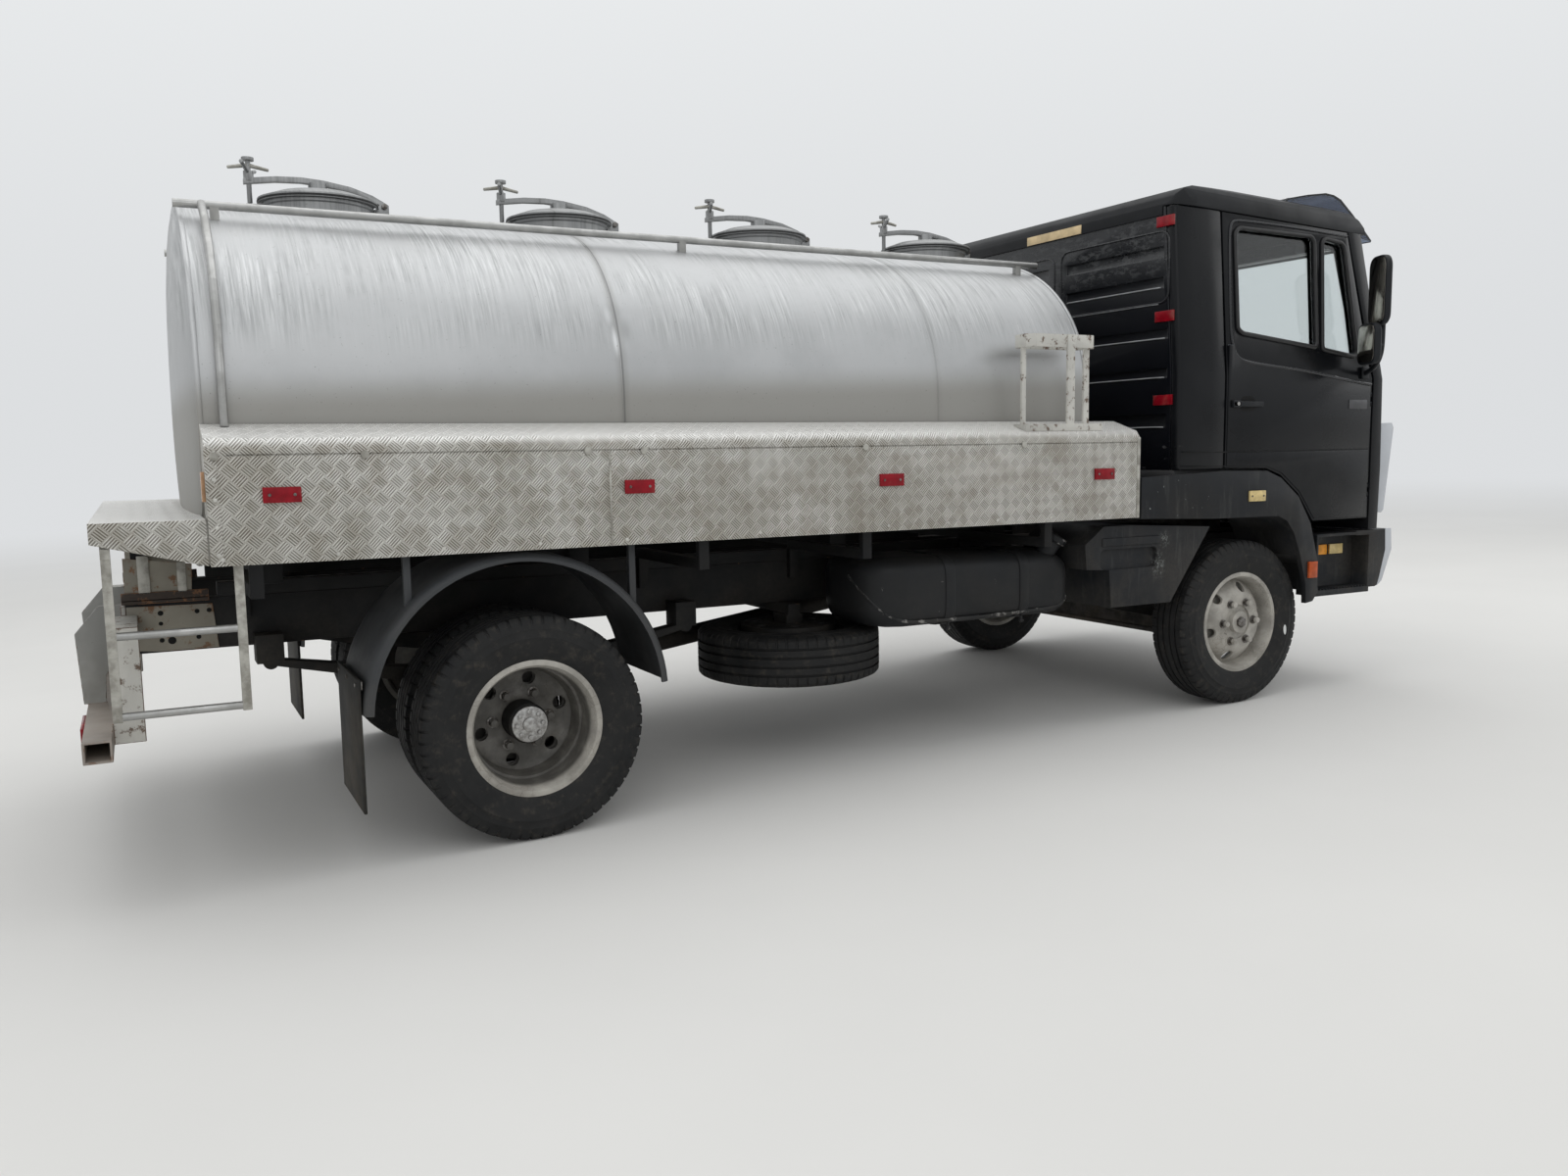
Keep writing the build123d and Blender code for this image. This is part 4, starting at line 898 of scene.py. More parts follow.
def make_finishes():
    make_effects()
    for special in (cab_paint, stainless, tread_plate, tyre_rubber, seat_cloth, moulding, wall_paint):
        special()
    wheel_paint("wheel_paint", 0.0)
    wheel_paint("rear_wheel_paint", 0.85)
    painted("roof_paint", (0.0125, 0.0135, 0.0155), 0.46, 0.03, chips=0.20, under=(0.06, 0.06, 0.06),
            grain=0.2, on_top=0.10, shade=0.45)
    painted("cream_paint", (0.31, 0.288, 0.235), 0.55, 0.36, chips=0.44, under=(0.17, 0.085, 0.04), top=1.1)
    painted("rusty", (0.055, 0.040, 0.032), 0.75, 0.25, chips=0.45, under=(0.20, 0.095, 0.045), top=1.1)
    painted("underframe", (0.010, 0.0105, 0.0115), 0.60, 0.26, chips=0.26, top=1.0, on_top=0.6)
    painted("white_paint", (0.56, 0.55, 0.51), 0.50, 0.22, chips=0.45, under=(0.11, 0.068, 0.045), top=2.2,
            shade=0.34, edges=0.22)
    painted("rail_paint", (0.34, 0.34, 0.32), 0.55, 0.40, chips=0.34, under=(0.10, 0.06, 0.04), shade=0.4)
    painted("beam_paint", (0.30, 0.262, 0.228), 0.48, 0.30, chips=0.36, under=(0.15, 0.075, 0.04))
    painted("front_grey", (0.48, 0.50, 0.53), 0.38, 0.10, chips=0.22, top=1.2, shade=0.12)
    painted("dashboard", (0.05, 0.05, 0.052), 0.6, 0.05, grain=0.5, on_top=0.2)
    painted("flap_rubber", (0.020, 0.020, 0.019), 0.7, 0.35, grain=0.3, top=0.75, on_top=0.3)
    painted("guard_rubber", (0.034, 0.037, 0.041), 0.50, 0.20, chips=0.24, under=(0.08, 0.08, 0.08),
            grain=0.2, top=1.0, on_top=0.1)
    painted("flange_edge", (0.020, 0.021, 0.022), 0.50, 0.20, chips=0.46, under=(0.20, 0.195, 0.185))
    painted("tank_black", (0.0115, 0.0125, 0.014), 0.44, 0.10, chips=0.325, under=(0.22, 0.21, 0.20),
            grain=0.25)
    worn_metal("bare_steel", (0.46, 0.46, 0.45), (0.36, 0.36, 0.35), 0.34, dirt=0.25, scale=9.0)
    worn_metal("ladder_grey", (0.47, 0.46, 0.42), (0.27, 0.26, 0.23), 0.50, metal=0.45)
    worn_metal("cast_iron", (0.055, 0.050, 0.046), (0.028, 0.026, 0.024), 0.60, dirt=0.5, metal=0.3)
    worn_metal("bolt_steel", (0.26, 0.25, 0.24), (0.10, 0.09, 0.08), 0.42, dirt=0.3, scale=60.0)
    worn_metal("hub_alloy", (0.48, 0.48, 0.47), (0.28, 0.27, 0.26), 0.36, dirt=0.2, scale=50.0)
    clear_glass("clear_glass", (0.86, 0.90, 0.90))
    clear_glass("smoked", (0.20, 0.232, 0.30), 0.06)
    lens("red_lens", (0.27, 0.004, 0.012))
    lens("amber_lens", (0.80, 0.32, 0.03))
    lens("pale_lens", (0.72, 0.56, 0.26))
    lens("orange_lens", (0.48, 0.085, 0.02))
    lens("faded_lens", (0.56, 0.33, 0.19))
    lens("clear_lens", (0.62, 0.64, 0.65), 0.0012)
    plain_trim("seal_rubber", (0.007, 0.007, 0.008), 0.42)
    # pale grey for the ledges: worn paint, with a painted highlight where light catches them
    plain_trim("worn_ledge", (0.30, 0.31, 0.32), 0.38)
    plain_trim("rivet_heads", (0.58, 0.57, 0.53), 0.40, metal=0.3)
    plain_trim("bright_black", (0.012, 0.013, 0.016), 0.20)
    plain_trim("gasket", (0.02, 0.02, 0.02), 0.7)
    plain_trim("tan_tape", (0.74, 0.57, 0.33), 0.6)
    plain_trim("mirror_face", (0.42, 0.39, 0.34), 0.05, metal=1.0)
    plain_trim("blank_badge", (0.10, 0.10, 0.105), 0.35, metal=0.6)
    plain_trim("void_black", (0.004, 0.004, 0.004), 0.9)


class TANKER_OT_finishes(bpy.types.Operator):
    """Make every material of the truck"""
    bl_idname = "tanker.finishes"
    bl_label = "Finishes"

    def execute(self, context):
        make_finishes()
        return {"FINISHED"}


class TANKER_OT_cab_shell(bpy.types.Operator):
    """Cab panels with rounded edges, and the pressed frames of the rear wall"""
    bl_idname = "tanker.cab_shell"
    bl_label = "Cab shell"

    def execute(self, context):
        dress_nodes([
            ("cab_posts", "corner_posts", 9, "cab_paint", "dark_paint"),
            ("cab_rear_wall", "rear_wall", 5, "wall_paint", "dark_paint"),
            ("cab_roof", "roof", 10, "roof_paint", "dark_paint"),
            ("cab_front", "front_shell", 7, "cab_paint", "dark_paint"),
            ("cab_floor", "floor", 4, "dashboard", "dark_paint"),
            ("door_left", "left_door", 4, "cab_paint", "dark_paint", "door_left"),
            ("door_right", "right_door", 4, "cab_paint", "dark_paint", "door_right"),
        ])
        beads = []
        for y0, y1, top in ((-985, -260, 2290), (-211, 211, 2276), (260, 985, 2290)):
            loop = rounded(rect(y0, y1, 1971, top), 62, 6)
            beads.append(tube([(WALL_X, y, z) for y, z in loop], 5, closed=True, curved=False))
        settle(joined(beads), "rear_wall_beads", "wall_paint", smooth=60)
        # pale tubes along the pressed ledges, worn paint with a painted highlight on each lower lip: height
        # of each ledge and its end towards the side
        face = WALL_X - 1.5
        ledges = [tube([(face, -end, z), (face, -end + 60, z + 1), (face, -340, z), (face, -312, z)],
                       3.2, curved=False)
                  for z, end in ((2040, 936), (1968, 925), (1812, 966), (1636, 966), (1411, 966))]
        settle(both_sides(*ledges), "worn_ledges", "worn_ledge", smooth=60)
        seams = [block(3014, 3282, -SIDE_Y - 0.6, -SIDE_Y + 1, z0, z1, 0.4)
                 for z0, z1 in ((1290, 1296), (1226, 1230))]
        settle(both_sides(*seams), "post_seams", "void_black")
        settle(block(2990.5, 2994.5, -412, -7, 2363, 2405, 1), "roof_tape", "tan_tape")
        return {"FINISHED"}


def on_cab_side(line, proud=0.0):
    """Points of the right cab side, proud of the sheet by so much."""
    lean = (SIDE_Y - TOP_Y) / (GUTTER_Z - BELT_Z)
    return [(x, -SIDE_Y - proud + max(0.0, z - BELT_Z) * lean, z) for x, z in line]


class TANKER_OT_doors(bpy.types.Operator):
    """Door skins with their swage and groove, handles, window rubbers and badges left blank"""
    bl_idname = "tanker.doors"
    bl_label = "Doors"

    def execute(self, context):
        skin_back, skin_front, proud, groove_z, groove = 3291, 4292, 4, 1293, 7
        belt = [(3334, 1752), (3352, 1728), (3392, 1710), (3458, 1701), (3600, 1690), (3865, 1667),
                (4080, 1635), (skin_front, 1614)]
        upper = [(skin_back, 1782), (3318, 1782)] + belt
        upper += [(skin_front, groove_z + groove / 2), (skin_back, groove_z + groove / 2)]
        lower = [(skin_back, groove_z - groove / 2), (skin_front, groove_z - groove / 2), (skin_front, 958),
                 (3906, 958), (3797, 1094), (3664, 1189), (3562, 1222), (skin_back, 1228)]
        frame_line = [(4140, 2330), (3800, 2346), (3400, 2354), (3348, 2346), (3330, 2318), (3322, 2200),
                      (3317, 1990), (3316, 1815)]
        # the bead runs on the flush sheet down to the belt, and on the skin along it
        bead = on_cab_side(frame_line, -0.5) + on_cab_side(belt, 3.5)
        # pale tubes along the swage under the window: a painted highlight where the fold catches the sky
        fold_highlights = [[(3337, 1754), (3352, 1731), (3392, 1713), (3458, 1704), (3580, 1694), (3690, 1685)],
                  [(4020, 1648), (4080, 1638), (4170, 1628), (4285, 1617)]]
        windows = [on_cab_side(rounded(window, 26), 1) for window in (MAIN_WINDOW, QUARTER_WINDOW)]
        hollow = rounded([(3372, 1480), (3462, 1480), (3472, 1516), (3456, 1550), (3384, 1550),
                          (3366, 1516)], 20)
        seal = context.scene.truck_sizes.seal_width / MM / 2
        face = -SIDE_Y - proud
        for side, place in PLACES:
            grip = [block(3312, 3512, face - 16, face - 6, 1500, 1526, 6, 3),
                    block(3312, 3362, face - 16, face + 1, 1497, 1530, 5, 3),
                    block(3484, 3512, face - 13, face + 1, 1501, 1525, 4, 3)]
            lock = bar((3340, face - 13, 1514), (3340, face - 19, 1514), 9, 20, 1.4)
            badge = block(4131, 4266, face - 2, face + 0.5, 1493, 1537, 1)
            # what each piece is joined from, its name, finish and smoothing angle
            pieces = [
                ([plate(upper, "xz", face, -SIDE_Y + 14, 2.6), plate(lower, "xz", face, -SIDE_Y + 0.5, 2.6)],
                 "door_skin", "cab_paint", 35),
                ([tube(bead, 7)], "door_bead", "bright_black", 60),
                ([tube(on_cab_side(line, 4.5), 4) for line in fold_highlights],
                 "door_rubbed_edge", "worn_ledge", 60),
                ([tube(loop, seal, True, False) for loop in windows], "window_rubbers", "seal_rubber", 60),
                (grip, "door_handle", "moulding", 35),
                ([lock], "door_lock", "hub_alloy", 35),
                ([plate(hollow, "xz", face - 0.4, face + 1)], "handle_hollow", "void_black", 35),
                ([badge], "blank_badge", "blank_badge", 35)]
            for items, name, finish, smooth in pieces:
                piece = side + "_" + name
                settle(joined(items), piece, finish, "door_" + side, place, smooth)
        return {"FINISHED"}


class TANKER_OT_glass(bpy.types.Operator):
    """Clear and smoked glazing, screen rubber and the visor's brackets"""
    bl_idname = "tanker.glass"
    bl_label = "Glass and visor"

    def execute(self, context):
        for node in ("door_glass_left", "door_glass_right", "windscreen"):
            frame["nodes"][node].material_slots[0].material = FINISH["clear_glass"]
        visor = settle(dressed("sun_visor", 0), "visor", ["smoked", "seal_rubber"], "chassis",
                       LEVEL, 30)
        by_face(visor, lambda spot, face: abs(spot.y) > 946 and spot.x > 4236)
        screws = both_sides(bar((4262, -957, 2432), (4262, -962, 2432), 13, 16, 2),
                            bar((4262, -961, 2432), (4262, -965, 2432), 7, 6, 1))
        settle(screws, "visor_screws", "seal_rubber")
        loop = [(FRONT_X + 2 + (z - BELT_Z) * FRONT_SLOPE, y, z) for y, z in rounded(SCREEN, 30)]
        settle(tube(loop, 11, True, False), "screen_rubber", "seal_rubber", smooth=60)
        return {"FINISHED"}


class TANKER_OT_mirrors(bpy.types.Operator):
    """Mirror housings with their glass"""
    bl_idname = "tanker.mirrors"
    bl_label = "Mirrors"

    def execute(self, context):
        # middle of each housing, its half thickness, half width, half height and corner radius
        housings = [((4155, -1213, 2048), 20, 82.5, 165, 60), ((4122, -1190, 1798), 22, 85, 97.5, 48)]
        arm = [(4240, -1076, 1664), (4222, -1120, 1678), (4212, -1155, 1695), (4196, -1192, 1738),
               (4190, -1205, 1790), (4190, -1205, 1900), (4190, -1205, 2170)]
        for side, place in PLACES:
            cases, panes = [], []
            for centre, thick, wide, tall, corner in housings:
                outline = rounded(rect(-wide, wide, -tall, tall), corner, 7)
                case = round_edges(crown(plate(outline, "yz", -thick, thick - 13), 20, 13), 5, 3, 20)
                inner = rounded(rect(9 - wide, wide - 9, 9 - tall, tall - 9), corner - 8, 7)
                pane = plate(inner, "yz", -thick - 1.2, -thick + 1, 0.8)
                for item, group in ((case, cases), (pane, panes)):
                    item.data.transform(at(*centre) @ turn_by(-27, "Z"))
                    group.append(item)
            stand = [tube(arm, 12), block(4215, 4265, -1088, -1075, 1640, 1700, 5, 3),
                     bar((4190, -1205, 1795), (4135, -1193, 1795), 10, 20, 2),
                     bar((4190, -1205, 2048), (4165, -1213, 2048), 10, 20, 2)]
            body = "door_" + side
            mirror = settle(joined(cases + stand), side + "_mirror", "moulding", body, place, 50)
            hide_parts("mirror_" + side)
            settle(joined(panes), side + "_mirror_glass", "mirror_face", body, place)
        return {"FINISHED"}


class TANKER_OT_interior(bpy.types.Operator):
    """Dashboard, steering wheel and padded seats"""
    bl_idname = "tanker.interior"
    bl_label = "Interior"

    def execute(self, context):
        dress_nodes([("dashboard", "dash", 5, "dashboard", "moulding")])
        cushion = stuffed(block(3196, 3714, -226, 226, 1456, 1560, 44, 4))
        sewn(cushion, (-92, 92), 1, Vector((0, 0, 1)))
        back = stuffed(block(3122, 3226, -214, 214, 1572, 2098, 44, 4))
        sewn(back, (1700, 1830, 1960), 2, Vector((1, 0, 0)))
        back.data.transform(at(3180, 0, 1560) @ turn_by(-9, "Y") @ at(-3180, 0, -1560))
        pads = joined([cushion, back])
        for side, hand in HANDS:
            base = block(3245, 3685, side * SEAT_Y - 190, side * SEAT_Y + 190, 1216, 1446, 12)
            settle(base, hand + "_seat_base", "dashboard")
            pair = twin(pads, at(0, side * SEAT_Y, 0))
            settle(pair, hand + "_seat_pads", "seat_cloth", smooth=60)
            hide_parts("seats")
        bpy.data.objects.remove(pads)
        return {"FINISHED"}


class TANKER_OT_front(bpy.types.Operator):
    """Front panel, bumper, lamps, wipers and step tread"""
    bl_idname = "tanker.front"
    bl_label = "Front end"

    def execute(self, context):
        dress_nodes([("grille", "front_panel", 4, "front_grey", "light_grey")])
        bumper = dressed("front_bumper", 8)
        settle(bumper, "bumper", ["moulding", "front_grey"], "chassis", LEVEL)
        by_face(bumper, lambda spot, face: spot.x > 4385 and face.normal.x > 0.5)
        ends = plate([(4452, 889), (4498, 889), (4507, 781), (4438, 621), (4402, 598), (4418, 640),
                      (4458, 781)],
                     "xz", -1077.5, -1070, 2.5)
        settle(both_sides(ends), "bumper_ends", "front_grey")
        cleats = [block(x, x + 10, -1068, -980, 600, 607, 2.5) for x in range(3960, 4330, 22)]
        cleats += [block(3956, 4336, y - 4, y + 4, 600, 605, 1.5) for y in (-1046, -1014)]
        settle(both_sides(*cleats), "step_cleats", "moulding")
        arms = []
        for y in (-700, 120):
            arms.append(bar((4392, y, 1655), (4345, y + 420, 1850), 6, 10))
            arms.append(bar((4352, y + 180, 1790), (4345, y + 640, 1830), 4, 8))
        settle(joined(arms), "wipers", "seal_rubber")
        return {"FINISHED"}


class TANKER_OT_wings(bpy.types.Operator):
    """Front wings, the moulded boxes behind the wheels, rear mudguards and flaps"""
    bl_idname = "tanker.wings"
    bl_label = "Wings and mudguards"

    def execute(self, context):
        dress_nodes([("front_wings", "wings", 9, "moulding", "moulding")])
        hollow = rounded([(2560, 782), (2898, 782), (2906, 838), (2894, 874), (2560, 874)], 34, 5)
        cutter = both_sides(plate(hollow, "xz", -1080, -1018))
        cutter.data.transform(CHASSIS)
        boxes = applied(dressed("wheel_boxes", 0), "BOOLEAN", operation="DIFFERENCE", object=cutter,
                        solver="EXACT")
        bpy.data.objects.remove(cutter)
        settle(round_edges(boxes, 10, 3), "wheel_boxes_moulded", "moulding", "chassis", LEVEL)
        ridge = block(2570, 2925, -1047, -1036, 886, 924, 8, 3)
        settle(both_sides(ridge), "wheel_box_ridges", "moulding")
        lip = [(500, -1070), (512, -1071), (523, -1064), (530, -1048), (533, -1020), (533, -640), (530, -604),
               (522, -592), (516, -592), (522, -606), (525, -640), (525, -1018), (522, -1042), (516, -1054),
               (508, -1060), (500, -1060), (500, -1070)]
        arch = turned(lip, (-40, 0, 474), "y", 40, -177, 173)
        stays = [block(x, x + 24, -1030, -1006, z, 1012, 2) for x, z in ((-420, 835), (360, 800))]
        guards = settle(both_sides(arch, *stays), "mudguards", "guard_rubber")
        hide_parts("rear_mudguards")
        dress_nodes([("mudflaps", "flaps", 2, "flap_rubber", "flap_rubber")])
        clamps = [block(-571, -566, -1035, -615, 585, 612, 1)]
        clamps += [bar((-564, y, 598), (-586, y, 598), 7, 6) for y in (-1000, -825, -650)]
        settle(both_sides(*clamps), "flap_clamps", "bolt_steel")
        return {"FINISHED"}


def oval(x, centre_y, centre_z, half, above, below, power, count):
    """Points of a rounded oval at x, with its own height above and below the centre."""
    ring = []
    for i in range(count):
        side, up = math.sin(2 * math.pi * i / count), math.cos(2 * math.pi * i / count)
        y = centre_y + math.copysign(abs(side) ** power, side) * half
        z = centre_z + math.copysign(abs(up) ** power, up) * (above if up > 0 else below)
        ring.append(Vector((x, y, z)) * MM)
    return ring


def tank_ring(x, scale=1.0, grow=0.0):
    """Section of the tank at x."""
    return oval(x, 0, TANK_MID, (TANK_HALF + grow) * scale, (TANK_TOP - TANK_MID + grow) * scale,
                (TANK_MID - TANK_BELLY + grow) * scale, 2 / TANK_POWER, 160)


def fuel_ring(x, inner, outer, low, high, grow=0.0):
    """Section of the fuel tank at x."""
    tall = (high - low) / 2
    return oval(x, (inner + outer) / 2, (low + high) / 2, (inner - outer) / 2 + grow, tall, tall, 0.42, 64)


def lofted(rings):
    """Skin over rings of equal count, closed at both ends."""
    pick()
    bpy.ops.mesh.primitive_circle_add(vertices=len(rings[0]), radius=1, fill_type="NGON")
    obj = bpy.context.object
    edit_all(obj)
    for _ in rings[1:]:
        bpy.ops.mesh.extrude_region_move(TRANSFORM_OT_translate={"value": (0, 0, 0.01)})
    leave_edit()
    levels = {}
    for vertex in obj.data.vertices:
        levels.setdefault(round(vertex.co.z * 100), []).append(vertex)
    for level, ring in zip(sorted(levels), rings):
        row = sorted(levels[level], key=lambda v: math.atan2(v.co.x, v.co.y) % (2 * math.pi))
        for vertex, point in zip(row, ring):
            vertex.co = point
    return outward(obj)


class TANKER_OT_tank(bpy.types.Operator):
    """Stainless tank: oval shell, dished ends, seams, necks and hinge ears"""
    bl_idname = "tanker.tank"
    bl_label = "Tank"

    def execute(self, context):
        dish = [(34, 0.10), (33.5, 0.30), (31, 0.55), (25, 0.75), (17, 0.88), (10, 0.95), (4, 0.985),
                (0, 1.0)]
        stations = 46
        rings = [tank_ring(TANK_BACK - out, scale) for out, scale in dish]
        rings += [tank_ring(TANK_BACK + (TANK_FRONT - TANK_BACK) * i / stations) for i in range(1, stations)]
        rings += [tank_ring(TANK_FRONT + out, scale) for out, scale in reversed(dish)]
        parts = [lofted(rings)]
        # station, height of the bead over the sheet, half width
        bands = [(TANK_BACK + 6, 5.0, 8), (TANK_FRONT - 6, 5.0, 8), (TANK_SEAMS[0], 2.0, 6),
                 (TANK_SEAMS[1], 1.0, 5)]
        for x, grow, half in bands:
            steps = ((-half, -2), (-half, grow * 0.5), (half * -0.5, grow), (half * 0.5, grow),
                     (half, grow * 0.5), (half, -2))
            parts.append(lofted([tank_ring(x + along, grow=up) for along, up in steps]))
        neck = [(NECK_R, 2195), (NECK_R, 2274), (NECK_R + 7, 2279), (NECK_R + 7, 2289), (NECK_R - 10, 2289),
                (NECK_R - 10, 2195)]
        collar = [(NECK_R + 14, 2216), (NECK_R + 5, 2222), (NECK_R - 2, 2230), (NECK_R - 2, 2210)]
        ear = [(205, 2255), (258, 2255), (258, 2312), (240, 2322), (222, 2312), (205, 2285)]
        for x in FILLING_HOLES:
            parts += [turned(neck, (x, 0, 0), "z", 64), bar((x, 0, 2120), (x, 0, 2276), NECK_R - 9, 64),
                      turned(collar, (x, 0, 0), "z", 64), block(x + 185, x + 212, -26, 26, 2215, 2280, 3),
                      block(x + 205, x + 258, -26, 26, 2255, 2280, 3)]
            parts += [plate([(x + a, b) for a, b in ear], "xz", s * 26, s * 16, 2) for s in (-1, 1)]
            parts.append(block(x - 258, x - 185, -20, 20, 2262, 2282, 3))
        tank = settle(joined(parts), "tank_skin", "stainless", smooth=40)
        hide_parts("tank_shell")
        return {"FINISHED"}


class TANKER_OT_lids(bpy.types.Operator):
    """Filling lids with gasket, hinge pin and screw; rails and drain pipes"""
    bl_idname = "tanker.lids"
    bl_label = "Lids and rails"

    def execute(self, context):
        seal = [(LID_R - 2, 2291), (LID_R + 1.5, 2294), (LID_R + 1.5, 2300), (LID_R - 2, 2303)]
        pin = ((-33, 33, 7, 12), (-36, -27, 12, 6), (36, 27, 12, 6))
        for number, x in enumerate(FILLING_HOLES, 1):
            node = "lid_%d" % number
            dress_nodes([(node, "cover_%d" % number, 1.6, "stainless", "stainless", node)])
            settle(turned(seal, (x, 0, 0), "z", 64), "gasket_%d" % number, "gasket", node)
            fittings = [bar((x + 240, y0, 2306), (x + 240, y1, 2306), radius, sides, 1)
                        for y0, y1, radius, sides in pin]
            settle(joined(fittings), "hinge_pin_%d" % number, "bolt_steel")
            grips = [bar((x - 243, 0, 2424), (x - 243 + reach, 0, 2411), 8, 14, 3, 6) for reach in (-72, 72)]
            settle(joined(grips), "wing_grips_%d" % number, "ladder_grey", node)
        dress_nodes([("top_rails", "rails", 1, "bare_steel", "stainless")])
        return {"FINISHED"}


def box_unwrap(obj):
    """Map named plate in metres, laid square to each face."""
    edit_all(obj)
    while obj.data.uv_layers:
        obj.data.uv_layers.remove(obj.data.uv_layers[0])
    obj.data.uv_layers.new(name="plate")
    bpy.ops.uv.cube_project(cube_size=1.0, correct_aspect=False, scale_to_bounds=False)
    leave_edit()
    return obj


def rivet_seed(size):
    """Domed rivet head that looks along -Y."""
    return bar((0, 0, 0), (0, -3.2, 0), size, 10, 1.6)


class TANKER_OT_lockers(bpy.types.Operator):
    """Tread-plate lockers with rivets, latch screws and end caps"""
    bl_idname = "tanker.lockers"
    bl_label = "Side lockers"

    def execute(self, context):
        unders = {"lockers": lambda spot, face: spot.z < 1009,
                  "rear_step": lambda spot, face: abs(spot.y) < 432 and spot.z < 1138 and spot.x > -1210}
        for node, piece in (("side_lockers", "lockers"), ("rear_platform", "rear_step")):
            obj = box_unwrap(dressed(node, 3.5))
            settle(obj, piece, ["tread_plate", "underframe"], "chassis", LEVEL)
            by_face(obj, unders[piece])
        face = -LOCKER_Y
        corner = plate([(LOCKER_BACK - 1.5, LOCKER_LOW), (-948, LOCKER_LOW), (-952, LOCKER_FOLD - 4),
                        (LOCKER_BACK - 1.5, LOCKER_FOLD - 2)], "xz", face - 1.8, face + 1, 0.6)
        settle(box_unwrap(both_sides(corner)), "locker_corner_strips", "tread_plate")
        low = [at(x, face, 1033)
               for x in (-952, -625, -300, 20, 330, 585, 852, 1152, 1415, 1702, 1948, 2230, 2500)]
        back = [at(-962, face - 1.8, z) for z in (1272, 1211, 1129, 1047)]
        rivets = scattered(rivet_seed(6.5), low + back)
        settle(both_sides(rivets), "locker_rivets", "rivet_heads")
        latches = scattered(bar((0, 0, 0), (0, -7, 0), 13, 20, 2),
                            [at(x, face, 1340) for x in (-958, -530, 197, 401, 1311, 2083)])
        settle(both_sides(latches), "latch_screws", "ladder_grey")
        heads = [at(LOCKER_FRONT - 7, face - 2, z) for z in range(1035, 1360, 36)]
        strips = [block(LOCKER_FRONT - 16, LOCKER_FRONT + 2, face - 3, face + 22,
                        LOCKER_LOW - 1, LOCKER_FOLD, 2),
                  block(272, 280, face - 1.5, face, LOCKER_LOW, LOCKER_FOLD - 28, 0.5),
                  scattered(rivet_seed(5), heads)]
        settle(both_sides(*strips), "locker_strips", "ladder_grey")
        return {"FINISHED"}


class TANKER_OT_steps(bpy.types.Operator):
    """Ladder, deck hoop and the underrun beam with its posts"""
    bl_idname = "tanker.steps"
    bl_label = "Ladder, hoop and beam"

    def execute(self, context):
        ladder = dressed("ladder", 2)
        settle(ladder, "side_ladder", ["ladder_grey", "bare_steel"], "chassis", LEVEL)
        by_face(ladder, lambda spot, face: -1244 < spot.x < -924)
        dress_nodes([("deck_hoop", "hoop", 2, "white_paint", "white_paint")])
        beam = dressed("rear_bumper", 2.5)
        finishes = ["white_paint", "beam_paint", "rail_paint"]
        settle(beam, "underrun_beam", finishes, "chassis", LEVEL)
        by_face(beam, lambda spot, face: 1 if spot.x < -1279 and spot.z < 508 else 2 * (abs(spot.y) < 346))
        return {"FINISHED"}


class TANKER_OT_rail_ends(bpy.types.Operator):
    """Old cream plates, rusty angle and bolt holes at the rear ends of the frame"""
    bl_idname = "tanker.rail_ends"
    bl_label = "Frame rail ends"

    def execute(self, context):
        web = -430
        large = [(-1223, 688), (-1223, 838), (-958, 834), (-946, 679), (-1122, 679)]
        small = [(-1224, 882), (-1224, 1004), (-1014, 976), (-1020, 882)]
        sheets = [plate(large, "xz", web - 3.5, web + 0.5, 1), plate(small, "xz", web - 3, web + 4, 1)]
        settle(both_sides(*sheets), "rail_end_plates", "cream_paint")
        straps = [block(-1182, -1146, web - 8, web - 2.5, 880, 1010, 1.5),
                  block(-1062, -1034, web - 8, web - 2.5, 880, 984, 1.5)]
        settle(both_sides(*straps), "rail_end_straps", "ladder_grey")
        angle = [block(-1236, -968, web - 8, web - 3, 846, 886, 1.5),
                 block(-1236, -968, web - 8, web + 20, 856, 861, 1)]
        settle(both_sides(*angle), "rail_end_angles", "rusty")
        holes = ((-1121, 811, 9), (-1122, 775, 7), (-1008, 810, 8), (-970, 811, 8), (-1008, 720, 8),
                 (-1122, 717, 8), (-1091, 714, 13))
        discs = [bar((x, web - 3.9, z), (x, web - 3, z), size, 20, 0.3) for x, z, size in holes]
        settle(both_sides(*discs), "rail_end_holes", "void_black")
        return {"FINISHED"}


